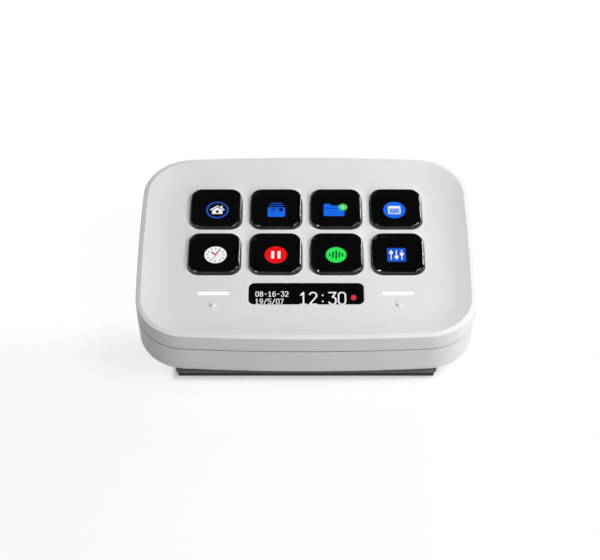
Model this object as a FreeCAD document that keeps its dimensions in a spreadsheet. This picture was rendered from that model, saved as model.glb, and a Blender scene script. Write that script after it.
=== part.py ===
import FreeCAD
import Part
import Sketcher
import math
import os
from FreeCAD import Placement, Rotation, Vector

# A tilted desk controller with eight display keys.
# World frame: X to the right, Y to the rear, Z up, origin under the middle of the case on the desk.
# The case is a slab, tilted about X. Its pieces are drawn in the slab's own frame: X to the right,
# Y along the face to the rear, and Z out of the face, with Z = 0 on the plane of the raised rim.
# A depth is how far a level lies below that plane.

SIZES = {
    # Case outline: margins round the key field and the display strip.
    # Each side is bowed, and the bow is how far its middle stands out
    "side_margin": 15.6,
    "rear_margin": 14.15,
    "front_margin": 15.1,
    "long_bow": 2.1,
    "short_bow": 0.9,
    "corner_radius": 16.0,
    "rim_radius": 0.3,
    "bottom_radius": 0.8,
    "wall_draft": 2.0,
    "wall": 2.0,
    # Dished face, with a rim whose land slopes outward
    "rim_land": 1.5,
    "rim_fall": 0.32,
    "dish_run": 10.8,
    "dish_depth": 1.6,
    "dish_corner_easing": 4.0,
    "plate_thickness": 1.8,
    "opening_edge_radius": 0.25,
    # Seam between the shells
    "seam_depth": 6.4,
    "seam_gap": 0.2,
    "seam_edge_radius": 0.25,
    "lip_height": 1.5,
    "lip_thickness": 0.9,
    "lip_clearance": 0.1,
    # Tilt and height over the desk
    "face_tilt": 4.5,
    "front_gap": 2.8,
    # Key field
    "key_columns": 4,
    "key_rows": 2,
    "key_opening": 17.2,
    "key_gap": 2.3,
    "key_opening_radius": 4.0,
    "key_clearance": 0.3,
    "cap_proud": 1.4,
    "cap_height": 3.0,
    "cap_edge_radius": 0.6,
    "skirt_overhang": 0.6,
    "skirt_wall": 0.9,
    "flange_gap": 0.2,
    "flange_thickness": 0.7,
    # Silicone sheet with its rings
    "ring_height": 2.0,
    "ring_inset": 0.6,
    "ring_wall": 0.6,
    "membrane_sheet": 0.5,
    "membrane_margin": 1.6,
    "membrane_radius": 3.0,
    # Key board
    "board_thickness": 0.8,
    "board_margin": 2.2,
    "board_radius": 3.0,
    # Display
    "gasket_thickness": 0.3,
    "gasket_border": 1.2,
    "gasket_inset": 0.2,
    "glass_thickness": 1.2,
    "glass_margin": 1.4,
    "glass_radius": 0.8,
    "backlight_thickness": 1.8,
    "frame_clearance": 0.1,
    "frame_wall": 0.3,
    "cable_room": 1.0,
    # Main board
    "main_thickness": 1.0,
    "main_front_setback": 1.9,
    "main_rear_reach": 0.8,
    "main_radius": 3.0,
    "tongue_gap": 3.5,
    "tongue_clearance": 0.65,
    "component_room": 2.0,
    "floor_thickness": 2.0,
    # Display strip window, in front of the two middle keys
    "strip_gap": 3.1,
    "strip_side_inset": 0.25,
    "strip_length": 8.85,
    "strip_radius": 2.0,
    "strip_recess": 0.2,
    "insert_clearance": 0.05,
    "insert_overhang": 0.9,
    "insert_flange": 0.6,
    "strip_board_margin": 0.5,
    # Touch points, in front of the outer keys
    "touch_inset": 0.2,
    "bar_width": 9.9,
    "bar_length": 1.2,
    "bar_radius": 0.4,
    "pip_drop": 4.7,
    "pip_width": 1.5,
    "pip_height": 0.5,
    "touch_board_side": 2.35,
    "touch_board_end": 0.2,
    "touch_board_thickness": 0.8,
    "touch_pad_width": 13.0,
    "touch_pad_length": 5.0,
    "lamp_count": 3,
    "lamp_width": 1.6,
    "lamp_length": 0.8,
    "lamp_height": 0.4,
    "lamp_pitch": 3.2,
    "lamp_clearance": 0.2,
    "contact_count": 3,
    "contact_width": 1.0,
    "contact_pitch": 2.5,
    # Cable socket
    "socket_width": 8.94,
    "socket_height": 3.26,
    "socket_radius": 1.5,
    "socket_wall": 0.3,
    "socket_length": 7.4,
    "socket_setback": 0.8,
    "socket_clearance": 0.2,
    "socket_base": 2.2,
    "socket_tongue_width": 6.7,
    "socket_tongue_height": 0.7,
    "socket_tongue_length": 4.4,
    "plug_recess_width": 12.4,
    "plug_recess_height": 6.6,
    "plug_recess_radius": 3.0,
    "plug_recess_depth": 0.8,
    # Flat cable of the display
    "flex_width": 30.0,
    "flex_thickness": 0.2,
    "flex_drop": 0.3,
    "flex_reach": 1.0,
    "flex_floor_gap": 0.4,
    "flex_notch_clearance": 1.0,
    "flex_socket_length": 4.0,
    "flex_socket_inset": 6.0,
    # Electronics
    "link_inset": 3.5,
    "link_width": 4.0,
    "link_length": 13.0,
    "link_plug_share": 2.2,
    "controller_size": 10.0,
    "controller_x": -20.0,
    "controller_y": 4.0,
    "memory_width": 6.0,
    "memory_length": 8.0,
    "memory_x": -4.0,
    "chip_gap": 0.1,
    # Plinth
    "stand_side_inset": 12.65,
    "stand_front_inset": 0.8,
    "stand_rear_inset": 5.15,
    "stand_radius": 1.2,
    "pad_thickness": 2.2,
    "pad_inset": 0.65,
    "pad_edge_radius": 0.3,
    "ballast_side_inset": 7.5,
    "ballast_rear_inset": 2.8,
    "ballast_length": 36.0,
    "ballast_thickness": 2.2,
    "ballast_radius": 3.0,
    "ballast_clearance": 0.2,
    # Fasteners
    "case_screw_side": 18.45,
    "case_screw_end": 7.45,
    "case_boss_width": 5.6,
    "case_column_width": 7.0,
    "case_column_height": 2.4,
    "case_head_recess": 2.6,
    "stand_screw_inset": 3.5,
    "stand_screw_front": 4.0,
    "stand_screw_rear": 22.0,
    "main_screw_inset": 3.0,
    "main_boss_width": 5.0,
    "key_screw_gap": 2.6,
    "key_screw_inset": 3.0,
    "key_screw_rows": 3,
    "key_boss_width": 4.6,
    "large_head_width": 4.2,
    "large_head_height": 1.6,
    "large_shank_width": 2.2,
    "large_shank_length": 8.0,
    "small_head_width": 3.2,
    "small_head_height": 0.9,
    "small_shank_width": 1.7,
    "small_shank_length": 2.8,
    "stand_shank_length": 5.0,
    "screw_clearance": 0.2,
    "screw_end_room": 0.3,
    "drive_width": 1.3,
    "drive_depth": 0.5,
}

# Levels, from the rim plane down through the slab
FACE = "Sizes.dish_depth"
FACE_UNDER = f"({FACE} + Sizes.plate_thickness)"
CAP_TOP = f"({FACE} - Sizes.cap_proud)"
CAP_UNDER = f"({CAP_TOP} + Sizes.cap_height)"
FLANGE_TOP = f"({FACE_UNDER} + Sizes.flange_gap)"
FLANGE_UNDER = f"({FLANGE_TOP} + Sizes.flange_thickness)"
SHEET_TOP = f"({FLANGE_UNDER} + Sizes.ring_height)"
BOARD_TOP = f"({SHEET_TOP} + Sizes.membrane_sheet)"
BOARD_UNDER = f"({BOARD_TOP} + Sizes.board_thickness)"
GLASS_TOP = f"({BOARD_UNDER} + Sizes.gasket_thickness)"
GLASS_UNDER = f"({GLASS_TOP} + Sizes.glass_thickness)"
BACKLIGHT_UNDER = f"({GLASS_UNDER} + Sizes.backlight_thickness)"
FRAME_UNDER = f"({BACKLIGHT_UNDER} + Sizes.frame_wall)"
MAIN_TOP = f"({FRAME_UNDER} + Sizes.cable_room)"
MAIN_UNDER = f"({MAIN_TOP} + Sizes.main_thickness)"
FLOOR = f"({MAIN_UNDER} + Sizes.component_room)"
CASE_UNDER = f"({FLOOR} + Sizes.floor_thickness)"
LOWER_SEAM = "(Sizes.seam_depth + Sizes.seam_gap)"
LIP_TOP = f"({LOWER_SEAM} - Sizes.lip_height)"
INSERT_UNDER = f"({FACE_UNDER} + Sizes.insert_flange)"
TOUCH_UNDER = f"({INSERT_UNDER} + Sizes.touch_board_thickness)"
COLUMN_TOP = f"({FLOOR} - Sizes.case_column_height)"
HEAD_SEAT = f"({CASE_UNDER} - Sizes.case_head_recess)"
SOCKET_MIDDLE = f"({MAIN_TOP} - Sizes.socket_height / 2)"

# Key sizes
KEY_PITCH = "(Sizes.key_opening + Sizes.key_gap)"
CAP_SIZE = "(Sizes.key_opening - 2 * Sizes.key_clearance)"
CAP_RADIUS = "(Sizes.key_opening_radius - Sizes.key_clearance)"
SKIRT_SIZE = "(Sizes.key_opening + 2 * Sizes.skirt_overhang)"
SKIRT_RADIUS = "(Sizes.key_opening_radius + Sizes.skirt_overhang)"
SKIRT_WINDOW = f"({CAP_SIZE} - 2 * Sizes.skirt_wall)"
SKIRT_WINDOW_RADIUS = f"({CAP_RADIUS} - Sizes.skirt_wall)"
RING_SIZE = f"({SKIRT_SIZE} - 2 * Sizes.ring_inset)"
RING_RADIUS = f"({SKIRT_RADIUS} - Sizes.ring_inset)"
RING_WINDOW = f"({RING_SIZE} - 2 * Sizes.ring_wall)"
RING_WINDOW_RADIUS = f"({RING_RADIUS} - Sizes.ring_wall)"

# Case outline and the places on the face, from the slab's middle
KEY_SPAN_X = f"({KEY_PITCH} * (Sizes.key_columns - 1))"
KEY_SPAN_Y = f"({KEY_PITCH} * (Sizes.key_rows - 1))"
HALF_WIDTH = f"(({KEY_SPAN_X} + Sizes.key_opening) / 2 + Sizes.side_margin)"
FIELD_LENGTH = f"({KEY_SPAN_Y} + Sizes.key_opening + Sizes.strip_gap + Sizes.strip_length)"
HALF_LENGTH = f"(({FIELD_LENGTH} + Sizes.rear_margin + Sizes.front_margin) / 2)"
FIELD_Y = f"({HALF_LENGTH} - Sizes.rear_margin - ({KEY_SPAN_Y} + Sizes.key_opening) / 2)"
FIRST_KEY_X = f"(-{KEY_SPAN_X} / 2)"
FIRST_KEY_Y = f"({FIELD_Y} - {KEY_SPAN_Y} / 2)"
STRIP_WIDTH = f"({KEY_PITCH} + Sizes.key_opening - 2 * Sizes.strip_side_inset)"
STRIP_Y = f"(Sizes.front_margin + Sizes.strip_length / 2 - {HALF_LENGTH})"
TOUCH_X = f"({KEY_SPAN_X} / 2 - Sizes.touch_inset)"
PIP_Y = f"({STRIP_Y} - Sizes.pip_drop)"
TOUCH_BOARD_REAR = f"({STRIP_Y} + Sizes.bar_length / 2 + Sizes.insert_overhang)"
TOUCH_BOARD_FRONT = f"({PIP_Y} - Sizes.touch_pad_length / 2)"

# Display and boards, from the slab's middle
GLASS_WIDTH = f"({KEY_SPAN_X} + {RING_WINDOW} + 2 * Sizes.glass_margin)"
GLASS_REAR = f"({FIELD_Y} + ({KEY_SPAN_Y} + {RING_WINDOW}) / 2 + Sizes.glass_margin)"
GLASS_FRONT = (
    f"({STRIP_Y} - Sizes.strip_length / 2 - Sizes.strip_board_margin - Sizes.glass_margin)"
)
GLASS_LENGTH = f"({GLASS_REAR} - {GLASS_FRONT})"
GLASS_Y = f"(({GLASS_REAR} + {GLASS_FRONT}) / 2)"
TRAY_WIDTH = f"({GLASS_WIDTH} + 2 * Sizes.frame_clearance + 2 * Sizes.frame_wall)"
KEY_SCREW_X = f"({TRAY_WIDTH} / 2 + Sizes.key_screw_gap + Sizes.small_head_width / 2)"
BOARD_WIDTH = f"(2 * {KEY_SCREW_X} + 2 * Sizes.key_screw_inset)"
BOARD_FRONT = f"({GLASS_FRONT} - Sizes.board_margin)"
BOARD_REAR = f"({GLASS_REAR} + Sizes.board_margin)"
KEY_SCREW_FRONT = f"({BOARD_FRONT} + Sizes.key_screw_inset)"
KEY_SCREW_REAR = f"({BOARD_REAR} - Sizes.key_screw_inset)"
LINK_X = f"({BOARD_WIDTH} / 2 - Sizes.link_inset)"
LINK_Y = f"(({BOARD_FRONT} + {BOARD_REAR}) / 4 + {KEY_SCREW_REAR} / 2)"
MAIN_FRONT = f"({GLASS_FRONT} + Sizes.main_front_setback)"
MAIN_REAR = f"({GLASS_REAR} + Sizes.main_rear_reach)"
MAIN_SCREW_X = f"({BOARD_WIDTH} / 2 - Sizes.main_screw_inset)"
MAIN_SCREW_FRONT = f"({MAIN_FRONT} + Sizes.main_screw_inset)"
MAIN_SCREW_REAR = f"({MAIN_REAR} - Sizes.main_screw_inset)"
FLEX_SOCKET_Y = f"({MAIN_FRONT} + Sizes.flex_socket_inset)"
CASE_SCREW_X = f"({HALF_WIDTH} - Sizes.case_screw_side)"
CASE_SCREW_Y = f"({HALF_LENGTH} - Sizes.case_screw_end)"
TONGUE_WIDTH = f"(2 * {CASE_SCREW_X} - Sizes.case_column_width - 2 * Sizes.tongue_gap)"
TONGUE_REAR = f"({HALF_LENGTH} - Sizes.wall - Sizes.tongue_clearance)"
SOCKET_MOUTH = f"({HALF_LENGTH} - Sizes.socket_setback)"
SMALL_HOLE = "(Sizes.small_shank_width + Sizes.screw_clearance)"
LARGE_HOLE = "(Sizes.large_shank_width + Sizes.screw_clearance)"

# Plinth, from the case's middle
STAND_WIDTH = f"(2 * {HALF_WIDTH} - 2 * Sizes.stand_side_inset)"
STAND_REAR = f"({HALF_LENGTH} - Sizes.stand_rear_inset)"
STAND_LENGTH = f"({STAND_REAR} + {HALF_LENGTH} - Sizes.stand_front_inset)"
STAND_Y = f"({STAND_REAR} - {STAND_LENGTH} / 2)"
STAND_SCREW_X = f"({STAND_WIDTH} / 2 - Sizes.stand_screw_inset)"
BALLAST_WIDTH = f"({STAND_WIDTH} - 2 * Sizes.ballast_side_inset)"
BALLAST_Y = f"({STAND_REAR} - Sizes.ballast_rear_inset - Sizes.ballast_length / 2)"

# Place of the slab's frame in the world
SLAB_HEIGHT = f"(Sizes.front_gap + {HALF_LENGTH} * sin(Sizes.face_tilt))"
SLAB_Y = f"(-{CASE_UNDER} * sin(Sizes.face_tilt))"
SLAB_Z = f"({SLAB_HEIGHT} + {CASE_UNDER} * cos(Sizes.face_tilt))"

# The dish's curve: how far each section lies from the rim, and how far it has fallen,
# as shares of the whole run and of the whole depth
DISH_CURVE = ((0, 0), (0.28, 0.46), (0.6, 0.84), (0.84, 0.97), (1, 1))

LEVEL_TOLERANCE = 1e-4

doc = FreeCAD.newDocument("key_controller")
sheet = doc.addObject("Spreadsheet::Sheet", "Sizes")
for row, (alias, size) in enumerate(SIZES.items(), start=1):
    sheet.set(f"A{row}", alias)
    sheet.set(f"B{row}", str(size))
    sheet.setAlias(f"B{row}", alias)
doc.recompute()
subparts = []


def value(expression):
    """What an expression on the sheet comes to."""
    return float(sheet.evalExpression(expression))


# Bodies and where they stand


def new_body(label):
    """A body in the world's frame, which is written to the file of its label."""
    body = doc.addObject("PartDesign::Body", label)
    body.Label = label
    subparts.append(body)
    return body


def slab_body(label, x="0", y="0"):
    """A body drawn in the slab's frame, moved to x and y on the face."""
    body = new_body(label)
    body.Placement = Placement(Vector(0, 0, 0), Rotation(Vector(1, 0, 0), value("Sizes.face_tilt")))
    body.setExpression("Placement.Rotation.Angle", "Sizes.face_tilt")
    body.setExpression("Placement.Base.x", x)
    body.setExpression("Placement.Base.y", f"{SLAB_Y} + {y} * cos(Sizes.face_tilt)")
    body.setExpression("Placement.Base.z", f"{SLAB_Z} + {y} * sin(Sizes.face_tilt)")
    return body


def origin_feature(body, role):
    """A plane or axis of the body's own origin."""
    return next(feature for feature in body.Origin.OriginFeatures if feature.Role == role)


# Sketches


def new_sketch(body, name, plane="XY_Plane", x="0", y="0", z="0", tilt=None):
    """A sketch on one of the body's planes, shifted by x and y in the plane and by z along its normal."""
    sketch = body.newObject("Sketcher::SketchObject", name)
    sketch.AttachmentSupport = [(origin_feature(body, plane), "")]
    sketch.MapMode = "FlatFace"
    if tilt:
        sketch.AttachmentOffset = Placement(Vector(0, 0, 0), Rotation(Vector(1, 0, 0), value(tilt)))
        sketch.setExpression("AttachmentOffset.Rotation.Angle", tilt)
    for axis, shift in (("x", x), ("y", y), ("z", z)):
        if shift != "0":
            sketch.setExpression(f"AttachmentOffset.Base.{axis}", shift)
    return sketch


def bind(sketch, kind, *where, to):
    """A sketch dimension that follows an expression."""
    index = sketch.addConstraint(Sketcher.Constraint(kind, *where, value(to)))
    sketch.setExpression(f"Constraints[{index}]", to)


def join(sketch, first, first_end, second, second_end):
    """Two sketch curves that run smoothly into each other."""
    sketch.addConstraint(Sketcher.Constraint("Tangent", first, first_end, second, second_end))


def arc(sketch, centre, radius, start, end):
    """An arc between two angles in radians."""
    circle = Part.Circle(Vector(*centre, 0), Vector(0, 0, 1), radius)
    return sketch.addGeometry(Part.ArcOfCircle(circle, start, end), False)


def line(sketch, start, end):
    """A straight sketch line."""
    return sketch.addGeometry(Part.LineSegment(Vector(*start, 0), Vector(*end, 0)), False)


def draw_rectangle(sketch, width, length, radius=None):
    """A rectangle centred on the sketch's origin, with rounded corners where a radius is given."""
    half_w = value(width) / 2
    half_l = value(length) / 2
    r = value(radius) if radius else 0.0
    bottom = line(sketch, (-half_w + r, -half_l), (half_w - r, -half_l))
    right = line(sketch, (half_w, -half_l + r), (half_w, half_l - r))
    top = line(sketch, (half_w - r, half_l), (-half_w + r, half_l))
    left = line(sketch, (-half_w, half_l - r), (-half_w, -half_l + r))
    sides = (bottom, right, top, left)
    for side, direction in zip(sides, ("Horizontal", "Vertical", "Horizontal", "Vertical")):
        sketch.addConstraint(Sketcher.Constraint(direction, side))
    if radius:
        quarter = math.pi / 2
        corners = []
        for turn, (sx, sy) in enumerate(((1, -1), (1, 1), (-1, 1), (-1, -1))):
            start = (turn - 1) * quarter
            centre = (sx * (half_w - r), sy * (half_l - r))
            corners.append(arc(sketch, centre, r, start, start + quarter))
        for turn, corner in enumerate(corners):
            join(sketch, sides[turn], 2, corner, 1)
            join(sketch, corner, 2, sides[(turn + 1) % 4], 1)
        for corner in corners[1:]:
            sketch.addConstraint(Sketcher.Constraint("Equal", corners[0], corner))
        sketch.addConstraint(Sketcher.Constraint("Symmetric", corners[0], 3, corners[2], 3, -1, 1))
        bind(sketch, "Radius", corners[0], to=radius)
    else:
        for turn in range(4):
            following = sides[(turn + 1) % 4]
            sketch.addConstraint(Sketcher.Constraint("Coincident", sides[turn], 2, following, 1))
        sketch.addConstraint(Sketcher.Constraint("Symmetric", bottom, 1, top, 1, -1, 1))
    bind(sketch, "DistanceX", left, 1, right, 1, to=width)
    bind(sketch, "DistanceY", bottom, 1, top, 1, to=length)


def draw_circle(sketch, width):
    """A circle centred on the sketch's origin, given by its diameter."""
    circle = Part.Circle(Vector(0, 0, 0), Vector(0, 0, 1), value(width) / 2)
    index = sketch.addGeometry(circle, False)
    sketch.addConstraint(Sketcher.Constraint("Coincident", index, 3, -1, 1))
    bind(sketch, "Diameter", index, to=width)


def draw_polygon(sketch, points):
    """A closed outline of straight lines through points given as pairs of expressions."""
    corners = [(value(px), value(py)) for px, py in points]
    count = len(corners)
    sides = [line(sketch, corners[i], corners[(i + 1) % count]) for i in range(count)]
    for i in range(count):
        sketch.addConstraint(Sketcher.Constraint("Coincident", sides[i], 2, sides[(i + 1) % count], 1))
    for side, (px, py) in zip(sides, points):
        if px == "0":
            sketch.addConstraint(Sketcher.Constraint("PointOnObject", side, 1, -2))
        else:
            bind(sketch, "DistanceX", -1, 1, side, 1, to=px)
        if py == "0":
            sketch.addConstraint(Sketcher.Constraint("PointOnObject", side, 1, -1))
        else:
            bind(sketch, "DistanceY", -1, 1, side, 1, to=py)


def draw_case_outline(sketch, inset="0", corner_easing="0"):
    """The case's outline, drawn in by an inset: four bowed sides and four corner arcs between them."""
    long_radius = f"(({HALF_WIDTH}^2 + Sizes.long_bow^2) / (2 * Sizes.long_bow))"
    short_radius = f"(({HALF_LENGTH}^2 + Sizes.short_bow^2) / (2 * Sizes.short_bow))"
    corner_radius = f"(Sizes.corner_radius - {inset} + {corner_easing})"
    long_shift = value(f"{long_radius} - {HALF_LENGTH}")
    short_shift = value(f"{short_radius} - {HALF_WIDTH}")
    long_arc = value(f"{long_radius} - {inset}")
    short_arc = value(f"{short_radius} - {inset}")
    corner_arc = value(corner_radius)
    # The corner arc's centre lies where circles about both side arcs' centres cross
    to_long = long_arc - corner_arc
    to_short = short_arc - corner_arc
    apart = math.hypot(short_shift, long_shift)
    along = (to_long**2 - to_short**2 + apart**2) / (2 * apart)
    off = math.sqrt(to_long**2 - along**2)
    unit = (-short_shift / apart, long_shift / apart)
    centre_x = unit[0] * along + unit[1] * off
    centre_y = -long_shift + unit[1] * along - unit[0] * off
    side_turn = math.atan2(centre_y + long_shift, centre_x)
    end_turn = math.atan2(centre_y, centre_x + short_shift)
    rear = arc(sketch, (0, -long_shift), long_arc, side_turn, math.pi - side_turn)
    left = arc(sketch, (short_shift, 0), short_arc, math.pi - end_turn, math.pi + end_turn)
    front = arc(sketch, (0, long_shift), long_arc, math.pi + side_turn, 2 * math.pi - side_turn)
    right = arc(sketch, (-short_shift, 0), short_arc, -end_turn, end_turn)
    corners = []
    for sx, sy, start, end in (
        (-1, 1, math.pi - side_turn, math.pi - end_turn),
        (-1, -1, math.pi + end_turn, math.pi + side_turn),
        (1, -1, 2 * math.pi - side_turn, 2 * math.pi - end_turn),
        (1, 1, end_turn, side_turn),
    ):
        corners.append(arc(sketch, (sx * centre_x, sy * centre_y), corner_arc, start, end))
    sides = (rear, left, front, right)
    for turn, corner in enumerate(corners):
        join(sketch, sides[turn], 2, corner, 1)
        join(sketch, corner, 2, sides[(turn + 1) % 4], 1)
    for corner in corners[1:]:
        sketch.addConstraint(Sketcher.Constraint("Equal", corners[0], corner))
    sketch.addConstraint(Sketcher.Constraint("Equal", rear, front))
    sketch.addConstraint(Sketcher.Constraint("Equal", left, right))
    sketch.addConstraint(Sketcher.Constraint("Symmetric", rear, 3, front, 3, -1, 1))
    sketch.addConstraint(Sketcher.Constraint("Symmetric", left, 3, right, 3, -1, 1))
    sketch.addConstraint(Sketcher.Constraint("PointOnObject", rear, 3, -2))
    sketch.addConstraint(Sketcher.Constraint("PointOnObject", right, 3, -1))
    bind(sketch, "Radius", rear, to=f"{long_radius} - {inset}")
    bind(sketch, "Radius", right, to=f"{short_radius} - {inset}")
    bind(sketch, "Radius", corners[0], to=corner_radius)
    bind(sketch, "DistanceY", rear, 3, -1, 1, to=f"{long_radius} - {HALF_LENGTH}")
    bind(sketch, "DistanceX", right, 3, -1, 1, to=f"{short_radius} - {HALF_WIDTH}")


# Features


def add_pad(body, name, sketch, length, middle=False):
    """Material along the sketch's normal, or to both sides of the sketch."""
    before = body.Shape.Volume if body.Tip else 0.0
    pad = body.newObject("PartDesign::Pad", name)
    pad.Profile = sketch
    pad.Midplane = middle
    pad.setExpression("Length", length)
    doc.recompute()
    if body.Shape.Volume <= before:
        raise RuntimeError(f"{body.Label}: {name} adds nothing")
    return pad


def add_pocket(body, name, sketch, length, along_normal=False):
    """A cut against the sketch's normal, or along it."""
    before = body.Shape.Volume
    pocket = body.newObject("PartDesign::Pocket", name)
    pocket.Profile = sketch
    pocket.Reversed = along_normal
    pocket.setExpression("Length", length)
    doc.recompute()
    if body.Shape.Volume >= before:
        raise RuntimeError(f"{body.Label}: {name} cuts nothing")
    return pocket


def slab_pad(body, name, draw, top, bottom, x="0", y="0"):
    """Material between two depths of the slab, with the outline that draw makes."""
    sketch = new_sketch(body, f"{name}_outline", x=x, y=y, z=f"-({bottom})")
    draw(sketch)
    return add_pad(body, name, sketch, f"{bottom} - ({top})")


def slab_cut(body, name, draw, top, bottom, x="0", y="0"):
    """A pocket between two depths of the slab, with the outline that draw makes."""
    sketch = new_sketch(body, f"{name}_outline", x=x, y=y, z=f"-({top})")
    draw(sketch)
    return add_pocket(body, name, sketch, f"{bottom} - ({top})")


def add_grid(body, name, features, across, along=None, along_axis="Y_Axis"):
    """Copies of features across X and along a second axis, each given as a pitch and a count."""
    grid = body.newObject("PartDesign::LinearPattern", name)
    grid.Originals = features
    set_direction(body, grid, "X_Axis", "", *across)
    if along:
        set_direction(body, grid, along_axis, "2", *along)
    body.Tip = grid
    doc.recompute()
    return grid


def set_direction(body, grid, axis, which, pitch, count):
    """Sets one direction of a grid. The axis is settled before the count, so that no copy is left out."""
    setattr(grid, f"Direction{which}", (origin_feature(body, axis), [""]))
    doc.recompute()
    setattr(grid, f"Mode{which}", "Spacing")
    setattr(grid, f"Offset{which}", value(pitch))
    setattr(grid, f"Occurrences{which}", int(value(count)))
    grid.setExpression(f"Offset{which}", pitch)
    grid.setExpression(f"Occurrences{which}", count)


def edges_where(feature, keep):
    """The names of a feature's edges that pass a test."""
    return [f"Edge{i}" for i, edge in enumerate(feature.Shape.Edges, start=1) if keep(edge)]


def lies_at(edge, depth):
    """Whether an edge lies all at one depth of the slab."""
    box = edge.BoundBox
    level = -value(depth)
    return abs(box.ZMin - level) < LEVEL_TOLERANCE and abs(box.ZMax - level) < LEVEL_TOLERANCE


def add_fillet(body, name, feature, keep, radius):
    """Rounds the edges of a feature that pass a test."""
    fillet = body.newObject("PartDesign::Fillet", name)
    fillet.Base = (feature, edges_where(feature, keep))
    fillet.setExpression("Radius", radius)
    doc.recompute()
    return fillet


KEY_GRID = {
    "across": (KEY_PITCH, "Sizes.key_columns"),
    "along": (KEY_PITCH, "Sizes.key_rows"),
}
BOTH_SIDES = (f"2 * {TOUCH_X}", "2")


def corner_grid(half_x, front, rear, rows="2"):
    """The grid of fasteners at both sides of the case, from a front row to a rear row."""
    return {
        "across": (f"2 * {half_x}", "2"),
        "along": (f"({rear} - {front}) / ({rows} - 1)", rows),
    }


CASE_SCREW_GRID = corner_grid(CASE_SCREW_X, f"(-{CASE_SCREW_Y})", CASE_SCREW_Y)
STAND_SCREW_GRID = corner_grid(STAND_SCREW_X, "Sizes.stand_screw_front", "Sizes.stand_screw_rear")
MAIN_SCREW_GRID = corner_grid(MAIN_SCREW_X, MAIN_SCREW_FRONT, MAIN_SCREW_REAR)
KEY_SCREW_GRID = corner_grid(KEY_SCREW_X, KEY_SCREW_FRONT, KEY_SCREW_REAR, "Sizes.key_screw_rows")

# Where the first fastener of each grid is, at the front left
CASE_SCREW_PLACE = (f"-{CASE_SCREW_X}", f"-{CASE_SCREW_Y}")
STAND_SCREW_PLACE = (f"-{STAND_SCREW_X}", "Sizes.stand_screw_front")
MAIN_SCREW_PLACE = (f"-{MAIN_SCREW_X}", MAIN_SCREW_FRONT)
KEY_SCREW_PLACE = (f"-{KEY_SCREW_X}", KEY_SCREW_FRONT)


# Case


def carve_dish(body):
    """The face falls from the rim to its flat middle along a soft curve."""
    sections = []
    for step, (run, fall) in enumerate(DISH_CURVE):
        sketch = new_sketch(body, f"dish_section_{step}", z=f"-{fall} * Sizes.dish_depth")
        draw_case_outline(
            sketch,
            f"(Sizes.rim_land + {run} * Sizes.dish_run)",
            f"({run} * Sizes.dish_corner_easing)",
        )
        sections.append(sketch)
    before = body.Shape.Volume
    dish = body.newObject("PartDesign::SubtractiveLoft", "dish")
    dish.Profile = sections[0]
    dish.Sections = sections[1:]
    doc.recompute()
    if body.Shape.Volume >= before:
        raise RuntimeError("the dish cuts nothing")
    return dish


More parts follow.
